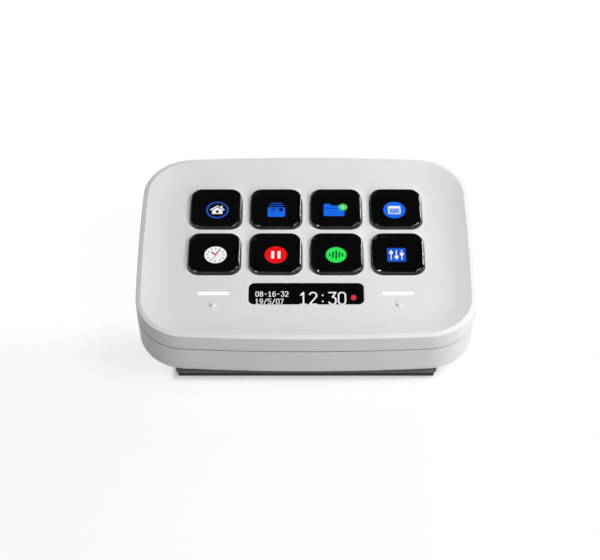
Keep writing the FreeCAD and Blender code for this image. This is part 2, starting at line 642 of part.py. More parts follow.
def make_top_shell():
    """Moulded cover with the dished face, its openings and the bosses under it."""
    body = slab_body("top_shell")
    block = slab_pad(body, "block", draw_case_outline, "0", "Sizes.seam_depth")
    rim = body.newObject("PartDesign::Chamfer", "rim")
    rim.Base = (block, edges_where(block, lambda edge: lies_at(edge, "0")))
    rim.ChamferType = "Two distances"
    rim.setExpression("Size", "Sizes.rim_fall")
    rim.setExpression("Size2", "Sizes.rim_land")
    doc.recompute()
    if abs(rim.Shape.BoundBox.ZMax) > LEVEL_TOLERANCE:
        raise RuntimeError("the rim has lost its level")
    outer = add_fillet(
        body, "rim_edge", rim, lambda edge: lies_at(edge, "Sizes.rim_fall"), "Sizes.rim_radius"
    )
    add_fillet(
        body,
        "seam_edge",
        outer,
        lambda edge: lies_at(edge, "Sizes.seam_depth"),
        "Sizes.seam_edge_radius",
    )
    slab_cut(
        body,
        "cavity",
        lambda sketch: draw_case_outline(sketch, "Sizes.wall"),
        FACE_UNDER,
        "Sizes.seam_depth",
    )
    rabbet = "(Sizes.wall - Sizes.lip_thickness - Sizes.lip_clearance)"
    slab_cut(
        body,
        "rabbet",
        lambda sketch: draw_case_outline(sketch, rabbet),
        f"{LIP_TOP} - Sizes.lip_clearance",
        "Sizes.seam_depth",
    )
    carve_dish(body)
    slab_pad(
        body,
        "pip",
        lambda sketch: draw_circle(sketch, "Sizes.pip_width"),
        f"{FACE} - Sizes.pip_height",
        FACE,
        x=f"-{TOUCH_X}",
        y=PIP_Y,
    )
    add_grid(body, "pips", [body.Tip], across=BOTH_SIDES)
    key = slab_cut(
        body,
        "key_opening",
        lambda sketch: draw_rectangle(
            sketch, "Sizes.key_opening", "Sizes.key_opening", "Sizes.key_opening_radius"
        ),
        "0",
        FACE_UNDER,
        x=FIRST_KEY_X,
        y=FIRST_KEY_Y,
    )
    add_grid(body, "key_openings", [key], **KEY_GRID)
    slab_cut(
        body,
        "strip_opening",
        lambda sketch: draw_rectangle(
            sketch, STRIP_WIDTH, "Sizes.strip_length", "Sizes.strip_radius"
        ),
        "0",
        FACE_UNDER,
        y=STRIP_Y,
    )
    slot = slab_cut(
        body,
        "bar_slot",
        lambda sketch: draw_rectangle(
            sketch, "Sizes.bar_width", "Sizes.bar_length", "Sizes.bar_radius"
        ),
        "0",
        FACE_UNDER,
        x=f"-{TOUCH_X}",
        y=STRIP_Y,
    )
    slots = add_grid(body, "bar_slots", [slot], across=BOTH_SIDES)
    widest = value(f"{STRIP_WIDTH} + {KEY_PITCH}")
    add_fillet(
        body,
        "opening_edges",
        slots,
        lambda edge: lies_at(edge, FACE)
        and edge.BoundBox.XLength < widest
        and (edge.Curve.TypeId != "Part::GeomCircle" or edge.Curve.Radius > value("Sizes.pip_width")),
        "Sizes.opening_edge_radius",
    )
    add_boss_grid(
        body,
        "case_boss",
        ("Sizes.case_boss_width", LARGE_HOLE),
        (FACE_UNDER, COLUMN_TOP),
        (f"{HEAD_SEAT} - Sizes.large_shank_length - Sizes.screw_end_room", COLUMN_TOP),
        CASE_SCREW_PLACE,
        CASE_SCREW_GRID,
    )
    add_boss_grid(
        body,
        "key_boss",
        ("Sizes.key_boss_width", SMALL_HOLE),
        (FACE_UNDER, BOARD_TOP),
        (f"{BOARD_UNDER} - Sizes.small_shank_length - Sizes.screw_end_room", BOARD_TOP),
        KEY_SCREW_PLACE,
        KEY_SCREW_GRID,
    )


def add_boss_grid(body, name, widths, boss_depths, hole_depths, place, grid):
    """Round bosses with a pilot hole each, one at every fastener of a grid."""
    outer, inner = widths
    x, y = place
    boss = slab_pad(body, name, lambda sketch: draw_circle(sketch, outer), *boss_depths, x=x, y=y)
    add_grid(body, f"{name}_grid", [boss], **grid)
    add_hole_grid(body, f"{name}_hole", inner, hole_depths, place, grid)


def add_hole_grid(body, name, width, depths, place, grid):
    """Round holes, one at every fastener of a grid."""
    x, y = place
    hole = slab_cut(body, name, lambda sketch: draw_circle(sketch, width), *depths, x=x, y=y)
    add_grid(body, f"{name}_grid", [hole], **grid)


def draw_socket(sketch, grow):
    """The cable socket's outline, grown on all sides."""
    draw_rectangle(
        sketch,
        f"Sizes.socket_width + 2 * {grow}",
        f"Sizes.socket_height + 2 * {grow}",
        f"Sizes.socket_radius + {grow}",
    )


def make_bottom_shell():
    """Moulded tray with the lip, the screw columns and the cable opening."""
    body = slab_body("bottom_shell")
    outline = new_sketch(body, "block_outline", z=f"-{LOWER_SEAM}")
    draw_case_outline(outline)
    block = add_pad(body, "block", outline, f"{CASE_UNDER} - {LOWER_SEAM}")
    block.Reversed = True
    block.setExpression("TaperAngle", "-Sizes.wall_draft")
    doc.recompute()
    base = add_fillet(
        body, "base_edge", block, lambda edge: lies_at(edge, CASE_UNDER), "Sizes.bottom_radius"
    )
    add_fillet(
        body,
        "seam_edge",
        base,
        lambda edge: lies_at(edge, LOWER_SEAM),
        "Sizes.seam_edge_radius",
    )
    lip_inset = "(Sizes.wall - Sizes.lip_thickness)"
    slab_pad(
        body,
        "lip",
        lambda sketch: draw_case_outline(sketch, lip_inset),
        LIP_TOP,
        f"{LOWER_SEAM} + Sizes.seam_edge_radius",
    )
    slab_cut(
        body, "cavity", lambda sketch: draw_case_outline(sketch, "Sizes.wall"), LIP_TOP, FLOOR
    )
    add_boss_grid(
        body,
        "case_column",
        ("Sizes.case_column_width", LARGE_HOLE),
        (COLUMN_TOP, FLOOR),
        (COLUMN_TOP, CASE_UNDER),
        CASE_SCREW_PLACE,
        CASE_SCREW_GRID,
    )
    add_hole_grid(
        body,
        "head_recess",
        "Sizes.large_head_width + 2 * Sizes.screw_clearance",
        (HEAD_SEAT, CASE_UNDER),
        CASE_SCREW_PLACE,
        CASE_SCREW_GRID,
    )
    add_boss_grid(
        body,
        "main_boss",
        ("Sizes.main_boss_width", SMALL_HOLE),
        (MAIN_UNDER, FLOOR),
        (MAIN_UNDER, f"{MAIN_TOP} + Sizes.small_shank_length + Sizes.screw_end_room"),
        MAIN_SCREW_PLACE,
        MAIN_SCREW_GRID,
    )
    add_hole_grid(
        body, "stand_hole", SMALL_HOLE, (FLOOR, CASE_UNDER), STAND_SCREW_PLACE, STAND_SCREW_GRID
    )
    opening = new_sketch(
        body, "socket_opening_outline", "XZ_Plane", y=f"-{SOCKET_MIDDLE}", z=f"-{HALF_LENGTH}"
    )
    draw_socket(opening, "Sizes.socket_clearance")
    add_pocket(body, "socket_opening", opening, "2 * Sizes.wall", along_normal=True)
    recess = new_sketch(
        body, "plug_recess_outline", "XZ_Plane", y=f"-{SOCKET_MIDDLE}", z=f"-{HALF_LENGTH}"
    )
    draw_rectangle(
        recess, "Sizes.plug_recess_width", "Sizes.plug_recess_height", "Sizes.plug_recess_radius"
    )
    add_pocket(body, "plug_recess", recess, "Sizes.plug_recess_depth", along_normal=True)


# Keys


def make_lens(number, x, y):
    """Clear thick key cap."""
    body = slab_body(f"key_{number}_lens", x, y)
    block = slab_pad(
        body,
        "block",
        lambda sketch: draw_rectangle(sketch, CAP_SIZE, CAP_SIZE, CAP_RADIUS),
        CAP_TOP,
        CAP_UNDER,
    )
    add_fillet(
        body, "edge", block, lambda edge: lies_at(edge, CAP_TOP), "Sizes.cap_edge_radius"
    )


def make_skirt(number, x, y):
    """Black frame under a cap, with the flange that keeps the key in the case."""
    body = slab_body(f"key_{number}_skirt", x, y)
    slab_pad(
        body,
        "collar",
        lambda sketch: draw_rectangle(sketch, CAP_SIZE, CAP_SIZE, CAP_RADIUS),
        CAP_UNDER,
        FLANGE_TOP,
    )
    slab_pad(
        body,
        "flange",
        lambda sketch: draw_rectangle(sketch, SKIRT_SIZE, SKIRT_SIZE, SKIRT_RADIUS),
        FLANGE_TOP,
        FLANGE_UNDER,
    )
    slab_cut(
        body,
        "window",
        lambda sketch: draw_rectangle(sketch, SKIRT_WINDOW, SKIRT_WINDOW, SKIRT_WINDOW_RADIUS),
        CAP_UNDER,
        FLANGE_UNDER,
    )


def make_keys():
    """All keys, numbered by row from the rear left."""
    number = 0
    for row in reversed(range(int(value("Sizes.key_rows")))):
        for column in range(int(value("Sizes.key_columns"))):
            number += 1
            x = f"({FIRST_KEY_X} + {column} * {KEY_PITCH})"
            y = f"({FIRST_KEY_Y} + {row} * {KEY_PITCH})"
            make_lens(number, x, y)
            make_skirt(number, x, y)


def draw_ring_window(sketch):
    """The hole in the silicone sheet and the key board through which a key shows the display."""
    draw_rectangle(sketch, RING_WINDOW, RING_WINDOW, RING_WINDOW_RADIUS)


def make_membrane():
    """Silicone sheet with a collapsing ring under each key."""
    body = slab_body("keypad_membrane")
    slab_pad(
        body,
        "sheet",
        lambda sketch: draw_rectangle(
            sketch,
            f"{KEY_SPAN_X} + {RING_SIZE} + 2 * Sizes.membrane_margin",
            f"{KEY_SPAN_Y} + {RING_SIZE} + 2 * Sizes.membrane_margin",
            "Sizes.membrane_radius",
        ),
        SHEET_TOP,
        BOARD_TOP,
        y=FIELD_Y,
    )
    ring = slab_pad(
        body,
        "ring",
        lambda sketch: draw_rectangle(sketch, RING_SIZE, RING_SIZE, RING_RADIUS),
        FLANGE_UNDER,
        SHEET_TOP,
        x=FIRST_KEY_X,
        y=FIRST_KEY_Y,
    )
    add_grid(body, "rings", [ring], **KEY_GRID)
    window = slab_cut(
        body, "window", draw_ring_window, FLANGE_UNDER, BOARD_TOP, x=FIRST_KEY_X, y=FIRST_KEY_Y
    )
    add_grid(body, "windows", [window], **KEY_GRID)


def make_key_board():
    """Circuit board with the key contacts and a window under each key."""
    body = slab_body("key_board")
    slab_pad(
        body,
        "board",
        lambda sketch: draw_rectangle(
            sketch, BOARD_WIDTH, f"{BOARD_REAR} - {BOARD_FRONT}", "Sizes.board_radius"
        ),
        BOARD_TOP,
        BOARD_UNDER,
        y=GLASS_Y,
    )
    window = slab_cut(
        body, "window", draw_ring_window, BOARD_TOP, BOARD_UNDER, x=FIRST_KEY_X, y=FIRST_KEY_Y
    )
    add_grid(body, "windows", [window], **KEY_GRID)
    slab_cut(
        body,
        "strip_window",
        lambda sketch: draw_rectangle(
            sketch,
            f"{STRIP_WIDTH} + 2 * Sizes.strip_board_margin",
            "Sizes.strip_length + 2 * Sizes.strip_board_margin",
            "Sizes.strip_radius",
        ),
        BOARD_TOP,
        BOARD_UNDER,
        y=STRIP_Y,
    )
    add_hole_grid(
        body, "hole", SMALL_HOLE, (BOARD_TOP, BOARD_UNDER), KEY_SCREW_PLACE, KEY_SCREW_GRID
    )


# Display


def draw_glass(sketch, grow="0"):
    """The display glass's outline, grown on all sides."""
    draw_rectangle(
        sketch,
        f"{GLASS_WIDTH} + 2 * {grow}",
        f"{GLASS_LENGTH} + 2 * {grow}",
        f"Sizes.glass_radius + {grow}",
    )


def make_display():
    """Foam gasket, glass, backlight and the metal tray that holds them."""
    gasket = slab_body("display_gasket")
    slab_pad(
        gasket,
        "foam",
        lambda sketch: draw_glass(sketch, "(-Sizes.gasket_inset)"),
        BOARD_UNDER,
        GLASS_TOP,
        y=GLASS_Y,
    )
    slab_cut(
        gasket,
        "opening",
        lambda sketch: draw_rectangle(
            sketch,
            f"{GLASS_WIDTH} - 2 * Sizes.gasket_inset - 2 * Sizes.gasket_border",
            f"{GLASS_LENGTH} - 2 * Sizes.gasket_inset - 2 * Sizes.gasket_border",
        ),
        BOARD_UNDER,
        GLASS_TOP,
        y=GLASS_Y,
    )
    glass = slab_body("lcd_glass")
    slab_pad(glass, "glass", draw_glass, GLASS_TOP, GLASS_UNDER, y=GLASS_Y)
    backlight = slab_body("lcd_backlight")
    slab_pad(backlight, "backlight", draw_glass, GLASS_UNDER, BACKLIGHT_UNDER, y=GLASS_Y)
    tray = slab_body("lcd_frame")
    slab_pad(
        tray,
        "tray",
        lambda sketch: draw_glass(sketch, "(Sizes.frame_clearance + Sizes.frame_wall)"),
        GLASS_TOP,
        FRAME_UNDER,
        y=GLASS_Y,
    )
    slab_cut(
        tray,
        "hollow",
        lambda sketch: draw_glass(sketch, "Sizes.frame_clearance"),
        GLASS_TOP,
        BACKLIGHT_UNDER,
        y=GLASS_Y,
    )
    slab_cut(
        tray,
        "cable_notch",
        lambda sketch: draw_rectangle(
            sketch,
            "Sizes.flex_width + 2 * Sizes.flex_notch_clearance",
            "Sizes.frame_wall + 2 * Sizes.flex_notch_clearance",
        ),
        GLASS_TOP,
        f"{GLASS_UNDER} - Sizes.frame_wall",
        y=f"{GLASS_FRONT} - Sizes.frame_clearance - Sizes.frame_wall / 2",
    )


def make_flex():
    """Flat cable from the display glass, folded back under the tray to its connector."""
    body = slab_body("lcd_flex")
    upper = f"({GLASS_TOP} + Sizes.flex_drop)"
    lower = f"({MAIN_TOP} - Sizes.flex_floor_gap)"
    bend = f"(({lower} - {upper}) / 2)"
    bend_y = f"({GLASS_FRONT} - Sizes.flex_reach)"
    end_y = f"({FLEX_SOCKET_Y} - Sizes.flex_socket_length / 2)"
    sketch = new_sketch(body, "profile", "YZ_Plane", x=bend_y, y=f"-({upper} + {bend})")
    half = value("Sizes.flex_thickness") / 2
    radius = value(bend)
    reach_up = value(f"{GLASS_FRONT} - {bend_y}")
    reach_low = value(f"{end_y} - {bend_y}")
    outer = arc(sketch, (0, 0), radius + half, math.pi / 2, 3 * math.pi / 2)
    inner = arc(sketch, (0, 0), radius - half, math.pi / 2, 3 * math.pi / 2)
    up_outer = line(sketch, (0, radius + half), (reach_up, radius + half))
    up_end = line(sketch, (reach_up, radius + half), (reach_up, radius - half))
    up_inner = line(sketch, (reach_up, radius - half), (0, radius - half))
    low_inner = line(sketch, (0, half - radius), (reach_low, half - radius))
    low_end = line(sketch, (reach_low, half - radius), (reach_low, -half - radius))
    low_outer = line(sketch, (reach_low, -half - radius), (0, -half - radius))
    join(sketch, outer, 1, up_outer, 1)
    join(sketch, outer, 2, low_outer, 2)
    join(sketch, inner, 1, up_inner, 2)
    join(sketch, inner, 2, low_inner, 1)
    for first, second in (
        (up_outer, up_end),
        (up_end, up_inner),
        (low_inner, low_end),
        (low_end, low_outer),
    ):
        sketch.addConstraint(Sketcher.Constraint("Coincident", first, 2, second, 1))
    for centred in (outer, inner):
        sketch.addConstraint(Sketcher.Constraint("Coincident", centred, 3, -1, 1))
    for level in (up_outer, up_inner, low_inner, low_outer):
        sketch.addConstraint(Sketcher.Constraint("Horizontal", level))
    for upright in (up_end, low_end):
        sketch.addConstraint(Sketcher.Constraint("Vertical", upright))
    bind(sketch, "Radius", outer, to=f"{bend} + Sizes.flex_thickness / 2")
    bind(sketch, "Radius", inner, to=f"{bend} - Sizes.flex_thickness / 2")
    bind(sketch, "DistanceX", -1, 1, up_end, 1, to=f"{GLASS_FRONT} - {bend_y}")
    bind(sketch, "DistanceX", -1, 1, low_end, 1, to=f"{end_y} - {bend_y}")
    add_pad(body, "cable", sketch, "Sizes.flex_width", middle=True)
    connector = slab_body("lcd_connector", y=FLEX_SOCKET_Y)
    slab_pad(
        connector,
        "block",
        lambda outline: draw_rectangle(
            outline,
            "Sizes.flex_width + 2 * Sizes.flex_notch_clearance",
            "Sizes.flex_socket_length",
        ),
        f"{FRAME_UNDER} + Sizes.chip_gap",
        MAIN_TOP,
    )


# Display strip and touch points


def make_insert(label, x, y, width, length, radius, top):
    """A clear piece that fills an opening of the face from below, with a flange under the face."""
    body = slab_body(label, x, y)
    slab_pad(
        body,
        "flange",
        lambda sketch: draw_rectangle(
            sketch,
            f"{width} + 2 * Sizes.insert_overhang",
            f"{length} + 2 * Sizes.insert_overhang",
            f"{radius} + Sizes.insert_overhang",
        ),
        FACE_UNDER,
        INSERT_UNDER,
    )
    slab_pad(
        body,
        "filling",
        lambda sketch: draw_rectangle(
            sketch,
            f"{width} - 2 * Sizes.insert_clearance",
            f"{length} - 2 * Sizes.insert_clearance",
            f"{radius} - Sizes.insert_clearance",
        ),
        top,
        FACE_UNDER,
    )
    return body


def make_touch_points():
    """At each side of the display strip: a light guide and the sensor board under it."""
    lamp_top = f"{INSERT_UNDER} - Sizes.lamp_height"
    lamp_row = "Sizes.lamp_pitch * (Sizes.lamp_count - 1)"
    for side, sign in (("left", "-"), ("right", "")):
        x = f"({sign}{TOUCH_X})"
        guide = make_insert(
            f"light_bar_{side}",
            x,
            STRIP_Y,
            "Sizes.bar_width",
            "Sizes.bar_length",
            "Sizes.bar_radius",
            FACE,
        )
        slab_cut(
            guide,
            "lamp_slot",
            lambda sketch: draw_rectangle(
                sketch,
                f"{lamp_row} + Sizes.lamp_width + 2 * Sizes.lamp_clearance",
                "Sizes.lamp_length + 2 * Sizes.lamp_clearance",
            ),
            f"{lamp_top} - Sizes.lamp_clearance",
            INSERT_UNDER,
        )
        make_block(
            f"touch_board_{side}",
            x,
            f"(({TOUCH_BOARD_REAR} + {TOUCH_BOARD_FRONT}) / 2)",
            "Sizes.bar_width + 2 * Sizes.touch_board_side",
            f"{TOUCH_BOARD_REAR} - {TOUCH_BOARD_FRONT} + 2 * Sizes.touch_board_end",
            INSERT_UNDER,
            TOUCH_UNDER,
        )
    lamps = slab_body("light_bar_leds")
    lamp = slab_pad(
        lamps,
        "lamp",
        lambda sketch: draw_rectangle(sketch, "Sizes.lamp_width", "Sizes.lamp_length"),
        lamp_top,
        INSERT_UNDER,
        x=f"-{TOUCH_X} - {lamp_row} / 2",
        y=STRIP_Y,
    )
    lamp_copies = ("Sizes.lamp_pitch", "Sizes.lamp_count")
    add_grid(lamps, "lamps", [lamp], BOTH_SIDES, lamp_copies, along_axis="X_Axis")
    pads = slab_body("touch_pads")
    pad = slab_pad(
        pads,
        "pad",
        lambda sketch: draw_rectangle(sketch, "Sizes.touch_pad_width", "Sizes.touch_pad_length"),
        FACE_UNDER,
        INSERT_UNDER,
        x=f"-{TOUCH_X}",
        y=PIP_Y,
    )
    add_grid(pads, "pads", [pad], across=BOTH_SIDES)
    pins = slab_body("touch_contact_pins")
    pin = slab_pad(
        pins,
        "pin",
        lambda sketch: draw_circle(sketch, "Sizes.contact_width"),
        TOUCH_UNDER,
        BOARD_TOP,
        x=f"-{TOUCH_X} - Sizes.contact_pitch * (Sizes.contact_count - 1) / 2",
        y=PIP_Y,
    )
    pin_copies = ("Sizes.contact_pitch", "Sizes.contact_count")
    add_grid(pins, "pins", [pin], BOTH_SIDES, pin_copies, along_axis="X_Axis")


# Boards and what is on them


def make_block(label, x, y, width, length, top, bottom):
    """A plain rectangular component."""
    body = slab_body(label, x, y)
    slab_pad(body, "block", lambda sketch: draw_rectangle(sketch, width, length), top, bottom)


def make_main_board():
    """Main circuit board, narrowed at the rear between the screw columns."""
    body = slab_body("main_board")
    slab_pad(
        body,
        "board",
        lambda sketch: draw_rectangle(
            sketch, BOARD_WIDTH, f"{MAIN_REAR} - {MAIN_FRONT}", "Sizes.main_radius"
        ),
        MAIN_TOP,
        MAIN_UNDER,
        y=f"({MAIN_REAR} + {MAIN_FRONT}) / 2",
    )
    slab_pad(
        body,
        "tongue",
        lambda sketch: draw_rectangle(
            sketch, TONGUE_WIDTH, f"{TONGUE_REAR} - {MAIN_FRONT}", "Sizes.main_radius"
        ),
        MAIN_TOP,
        MAIN_UNDER,
        y=f"({TONGUE_REAR} + {MAIN_FRONT}) / 2",
    )
    add_hole_grid(
        body, "hole", SMALL_HOLE, (MAIN_TOP, MAIN_UNDER), MAIN_SCREW_PLACE, MAIN_SCREW_GRID
    )
    chip_top = f"({FRAME_UNDER} + Sizes.chip_gap)"
    make_block(
        "microcontroller",
        "Sizes.controller_x",
        "Sizes.controller_y",
        "Sizes.controller_size",
        "Sizes.controller_size",
        chip_top,
        MAIN_TOP,
    )
    make_block(
        "memory_chip",
        "Sizes.memory_x",
        "Sizes.controller_y",
        "Sizes.memory_width",
        "Sizes.memory_length",
        chip_top,
        MAIN_TOP,
    )
    link_meeting = f"({BOARD_UNDER} + Sizes.link_plug_share)"
    link = (LINK_X, LINK_Y, "Sizes.link_width", "Sizes.link_length")
    make_block("link_plug", *link, BOARD_UNDER, link_meeting)
    make_block("link_socket", *link, link_meeting, MAIN_TOP)


def make_cable_socket():
    """Metal shell of the cable socket, and the moulded tongue inside it."""
    shell = slab_body("usb_c_shell")
    outline = new_sketch(
        shell, "outline", "XZ_Plane", y=f"-{SOCKET_MIDDLE}", z=f"-{SOCKET_MOUTH}"
    )
    draw_socket(outline, "0")
    add_pad(shell, "tube", outline, "Sizes.socket_length")
    bore = new_sketch(shell, "bore_outline", "XZ_Plane", y=f"-{SOCKET_MIDDLE}", z=f"-{SOCKET_MOUTH}")
    draw_socket(bore, "(-Sizes.socket_wall)")
    add_pocket(shell, "bore", bore, "Sizes.socket_length", along_normal=True)
    insert = slab_body("usb_c_tongue")
    base_y = f"({SOCKET_MOUTH} - Sizes.socket_length + Sizes.socket_base)"
    base = new_sketch(insert, "base_outline", "XZ_Plane", y=f"-{SOCKET_MIDDLE}", z=f"-{base_y}")
    draw_socket(base, "(-Sizes.socket_wall)")
    add_pad(insert, "base", base, "Sizes.socket_base")
    tongue = new_sketch(
        insert,
        "tongue_outline",
        "XZ_Plane",
        y=f"-{SOCKET_MIDDLE}",
        z=f"-({base_y} + Sizes.socket_tongue_length)",
    )
    draw_rectangle(tongue, "Sizes.socket_tongue_width", "Sizes.socket_tongue_height")
    add_pad(insert, "tongue", tongue, "Sizes.socket_tongue_length + Sizes.socket_base / 2")


# Plinth


def make_stand():
    """Wedge under the case, level below and tilted above, with a pocket for the ballast."""
    body = new_body("stand_base")
    outline = new_sketch(body, "outline", y=STAND_Y, z="Sizes.pad_thickness")
    draw_rectangle(outline, STAND_WIDTH, STAND_LENGTH, "Sizes.stand_radius")
    add_pad(body, "block", outline, SLAB_Z)
    cut = new_sketch(body, "case_plane", z=SLAB_HEIGHT, tilt="Sizes.face_tilt")
    draw_rectangle(cut, f"4 * {HALF_WIDTH}", f"4 * {HALF_LENGTH}")
    add_pocket(body, "case_seat", cut, f"2 * {SLAB_Z}", along_normal=True)
    pocket_top = "Sizes.pad_thickness + Sizes.ballast_thickness"
    pocket = new_sketch(body, "ballast_outline", y=BALLAST_Y, z=pocket_top)
    draw_ballast(pocket, "Sizes.ballast_clearance")
    add_pocket(body, "ballast_pocket", pocket, "Sizes.ballast_thickness")
    holes = []
    for name in ("front", "rear"):
        place = f"Sizes.stand_screw_{name}"
        hole = new_sketch(
            body,
            f"{name}_hole_outline",
            x=f"-{STAND_SCREW_X}",
            y=f"{place} * cos(Sizes.face_tilt)",
            z=f"{SLAB_HEIGHT} + {place} * sin(Sizes.face_tilt)",
            tilt="Sizes.face_tilt",
        )
        draw_circle(hole, SMALL_HOLE)
        depth = "Sizes.stand_shank_length - Sizes.floor_thickness + Sizes.screw_end_room"
        holes.append(add_pocket(body, f"{name}_hole", hole, depth))
    add_grid(body, "screw_holes", holes, across=(f"2 * {STAND_SCREW_X}", "2"))


def draw_ballast(sketch, grow="0"):
    """The steel weight's outline, grown on all sides."""
    draw_rectangle(
        sketch,
        f"{BALLAST_WIDTH} + 2 * {grow}",
        f"Sizes.ballast_length + 2 * {grow}",
        f"Sizes.ballast_radius + {grow}",
    )


def make_foot():
    """Rubber pad under the plinth, and the steel weight that it closes in."""
    pad = new_body("foot_pad")
    outline = new_sketch(pad, "outline", y=STAND_Y)
    draw_rectangle(
        outline,
        f"{STAND_WIDTH} - 2 * Sizes.pad_inset",
        f"{STAND_LENGTH} - 2 * Sizes.pad_inset",
        "Sizes.stand_radius - Sizes.pad_inset",
    )
    block = add_pad(pad, "block", outline, "Sizes.pad_thickness")
    add_fillet(pad, "edge", block, lambda edge: lies_at(edge, "0"), "Sizes.pad_edge_radius")
    ballast = new_body("ballast_plate")
    plate = new_sketch(ballast, "outline", y=BALLAST_Y, z="Sizes.pad_thickness")
    draw_ballast(plate)
    add_pad(ballast, "plate", plate, "Sizes.ballast_thickness")


# Fasteners


def make_screws(label, kind, shank_length, seat, place, grid, upward):
    """A group of equal screws: the head lies on the seat's depth, and the shank runs up or down."""
    body = slab_body(label)
    x, y = place
    sign = "" if upward else "-"
    back = "-" if upward else ""
    head = f"Sizes.{kind}_head_width / 2"
    shank = f"Sizes.{kind}_shank_width / 2"
    head_height = f"Sizes.{kind}_head_height"
    profile = new_sketch(body, "profile", "XZ_Plane", x=x, y=f"-({seat})", z=f"-({y})")
    draw_polygon(
        profile,
        (
            ("0", f"{sign}({shank_length})"),
            (shank, f"{sign}({shank_length})"),
            (shank, "0"),
            (head, "0"),
            (head, f"{back}({head_height})"),
            ("Sizes.drive_width / 2", f"{back}({head_height})"),
            ("0", f"{back}({head_height} - Sizes.drive_depth)"),
        ),
    )
    screw = body.newObject("PartDesign::Revolution", "screw")
    screw.Profile = profile
    screw.ReferenceAxis = (profile, ["V_Axis"])
    screw.Angle = 360
    doc.recompute()
    add_grid(body, "screws", [screw], **grid)


def make_all_screws():
    """The four kinds of screws."""
    make_screws(
        "case_screws",
        "large",
        "Sizes.large_shank_length",
        HEAD_SEAT,
        CASE_SCREW_PLACE,
        CASE_SCREW_GRID,
        upward=True,
    )
    make_screws(
        "keypad_screws",
        "small",
        "Sizes.small_shank_length",
        BOARD_UNDER,
        KEY_SCREW_PLACE,
        KEY_SCREW_GRID,
        upward=True,
    )
    make_screws(
        "main_board_screws",
        "small",
        "Sizes.small_shank_length",
        MAIN_TOP,
        MAIN_SCREW_PLACE,
        MAIN_SCREW_GRID,
        upward=False,
    )
    make_screws(
        "stand_screws",
        "small",
        "Sizes.stand_shank_length",
        FLOOR,
        STAND_SCREW_PLACE,
        STAND_SCREW_GRID,
        upward=False,
    )


# Assembly

make_top_shell()
make_bottom_shell()
make_stand()
make_foot()
make_keys()
make_membrane()
make_key_board()
make_display()
make_flex()
make_insert(
    "info_window",
    "0",
    STRIP_Y,
    STRIP_WIDTH,
    "Sizes.strip_length",
    "Sizes.strip_radius",
    f"{FACE} + Sizes.strip_recess",
)
make_touch_points()
make_main_board()
make_cable_socket()
make_all_screws()
doc.recompute()

for item in doc.Objects:
    if {"Invalid", "Error"} & set(item.State):
        raise RuntimeError(f"{item.Label} failed: {item.State}")
for subpart in subparts:
    if subpart.Shape.isNull() or not subpart.Shape.isValid():
        raise RuntimeError(f"{subpart.Label} has no valid shape")

os.makedirs("parts", exist_ok=True)
for subpart in subparts:
    subpart.Shape.exportStep(f"parts/{subpart.Label}.step")
    box = subpart.Shape.BoundBox
    print(
        f"{subpart.Label}: {len(subpart.Shape.Solids)} solids, {subpart.Shape.Volume:.1f} mm3,"
        f" x {box.XMin:.2f} {box.XMax:.2f} y {box.YMin:.2f} {box.YMax:.2f} z {box.ZMin:.2f} {box.ZMax:.2f}"
    )
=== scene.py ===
"""Looks of a small key controller: a white tilted slab with eight display keys under clear caps,
a display strip, two lit touch points and a dark plinth."""

import math

import bmesh
import bpy
from mathutils import Matrix, Vector


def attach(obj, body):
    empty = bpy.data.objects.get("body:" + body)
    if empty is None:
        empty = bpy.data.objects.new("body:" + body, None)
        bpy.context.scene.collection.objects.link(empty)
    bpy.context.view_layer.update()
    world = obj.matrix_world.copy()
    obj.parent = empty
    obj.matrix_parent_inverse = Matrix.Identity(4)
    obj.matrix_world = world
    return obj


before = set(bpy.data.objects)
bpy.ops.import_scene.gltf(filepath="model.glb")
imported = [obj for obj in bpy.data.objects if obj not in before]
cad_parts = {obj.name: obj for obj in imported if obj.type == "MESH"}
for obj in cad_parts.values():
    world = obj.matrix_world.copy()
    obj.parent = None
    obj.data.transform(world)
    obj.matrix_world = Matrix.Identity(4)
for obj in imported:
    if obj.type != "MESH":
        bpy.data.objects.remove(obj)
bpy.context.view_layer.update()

MM = 0.001

# The slab's own frame, in millimetres: x to the right, v up the face, n out of the face from the
# rim's plane
FACE_TILT = math.radians(4.5)
SLAB_ORIGIN = Vector((0, -1.34950, 23.00300)) * MM
SLAB = Matrix.Translation(SLAB_ORIGIN) @ Matrix.Rotation(FACE_TILT, 4, "X")

# The seam between the case shells: its middle, and how far from there its painted shade is full and
# ends
SEAM_LEVEL = -6.5
SEAM_SHADE_CORE = 0.08
SEAM_SHADE_REACH = 0.28

# Keys, and the picture panels at the underside of their caps
KEY_PITCH = 19.5
KEY_COLUMNS = 4
REAR_ROW = 16.2
CAP_UNDER = -3.2
KEY_PANEL_LIFT = 0.07
PANEL_SIZE = 16.4
PANEL_RADIUS = 3.6

# Each picture lies this far up from its key's middle, and is drawn in by this share of the key's x.
PICTURE_RISE = 0.15
PICTURE_DRAW = 0.0125

# Display strip
STRIP_PLACE = -19.425
STRIP_UNDER = -4.0
STRIP_PANEL_LIFT = 0.1
STRIP_PANEL = (36.8, 10.0)
STRIP_RADIUS = 2.4

# Light bars: how far their middles are from the slab's middle, and their width
BAR_PLACE = 29.05
BAR_WIDTH = 9.9

# Pictures are thin sheets stacked on a black panel. Their corners weld where they are this close.
PANEL_THICKNESS = 0.06
LAYER_THICKNESS = 0.02
TOP_LAYER = 3
WELD = 0.0005

# The grid of a lit display's pixels, and how bright its lines are
PIXEL = 0.13
PIXEL_LINE_LEVEL = 0.6

# Tracks on the circuit boards and in the flat cable, and the foam's open cells to a metre
BOARD_TRACK_PITCH = 1.1
CABLE_TRACK_PITCH = 0.8
FOAM_CELLS = 3500.0


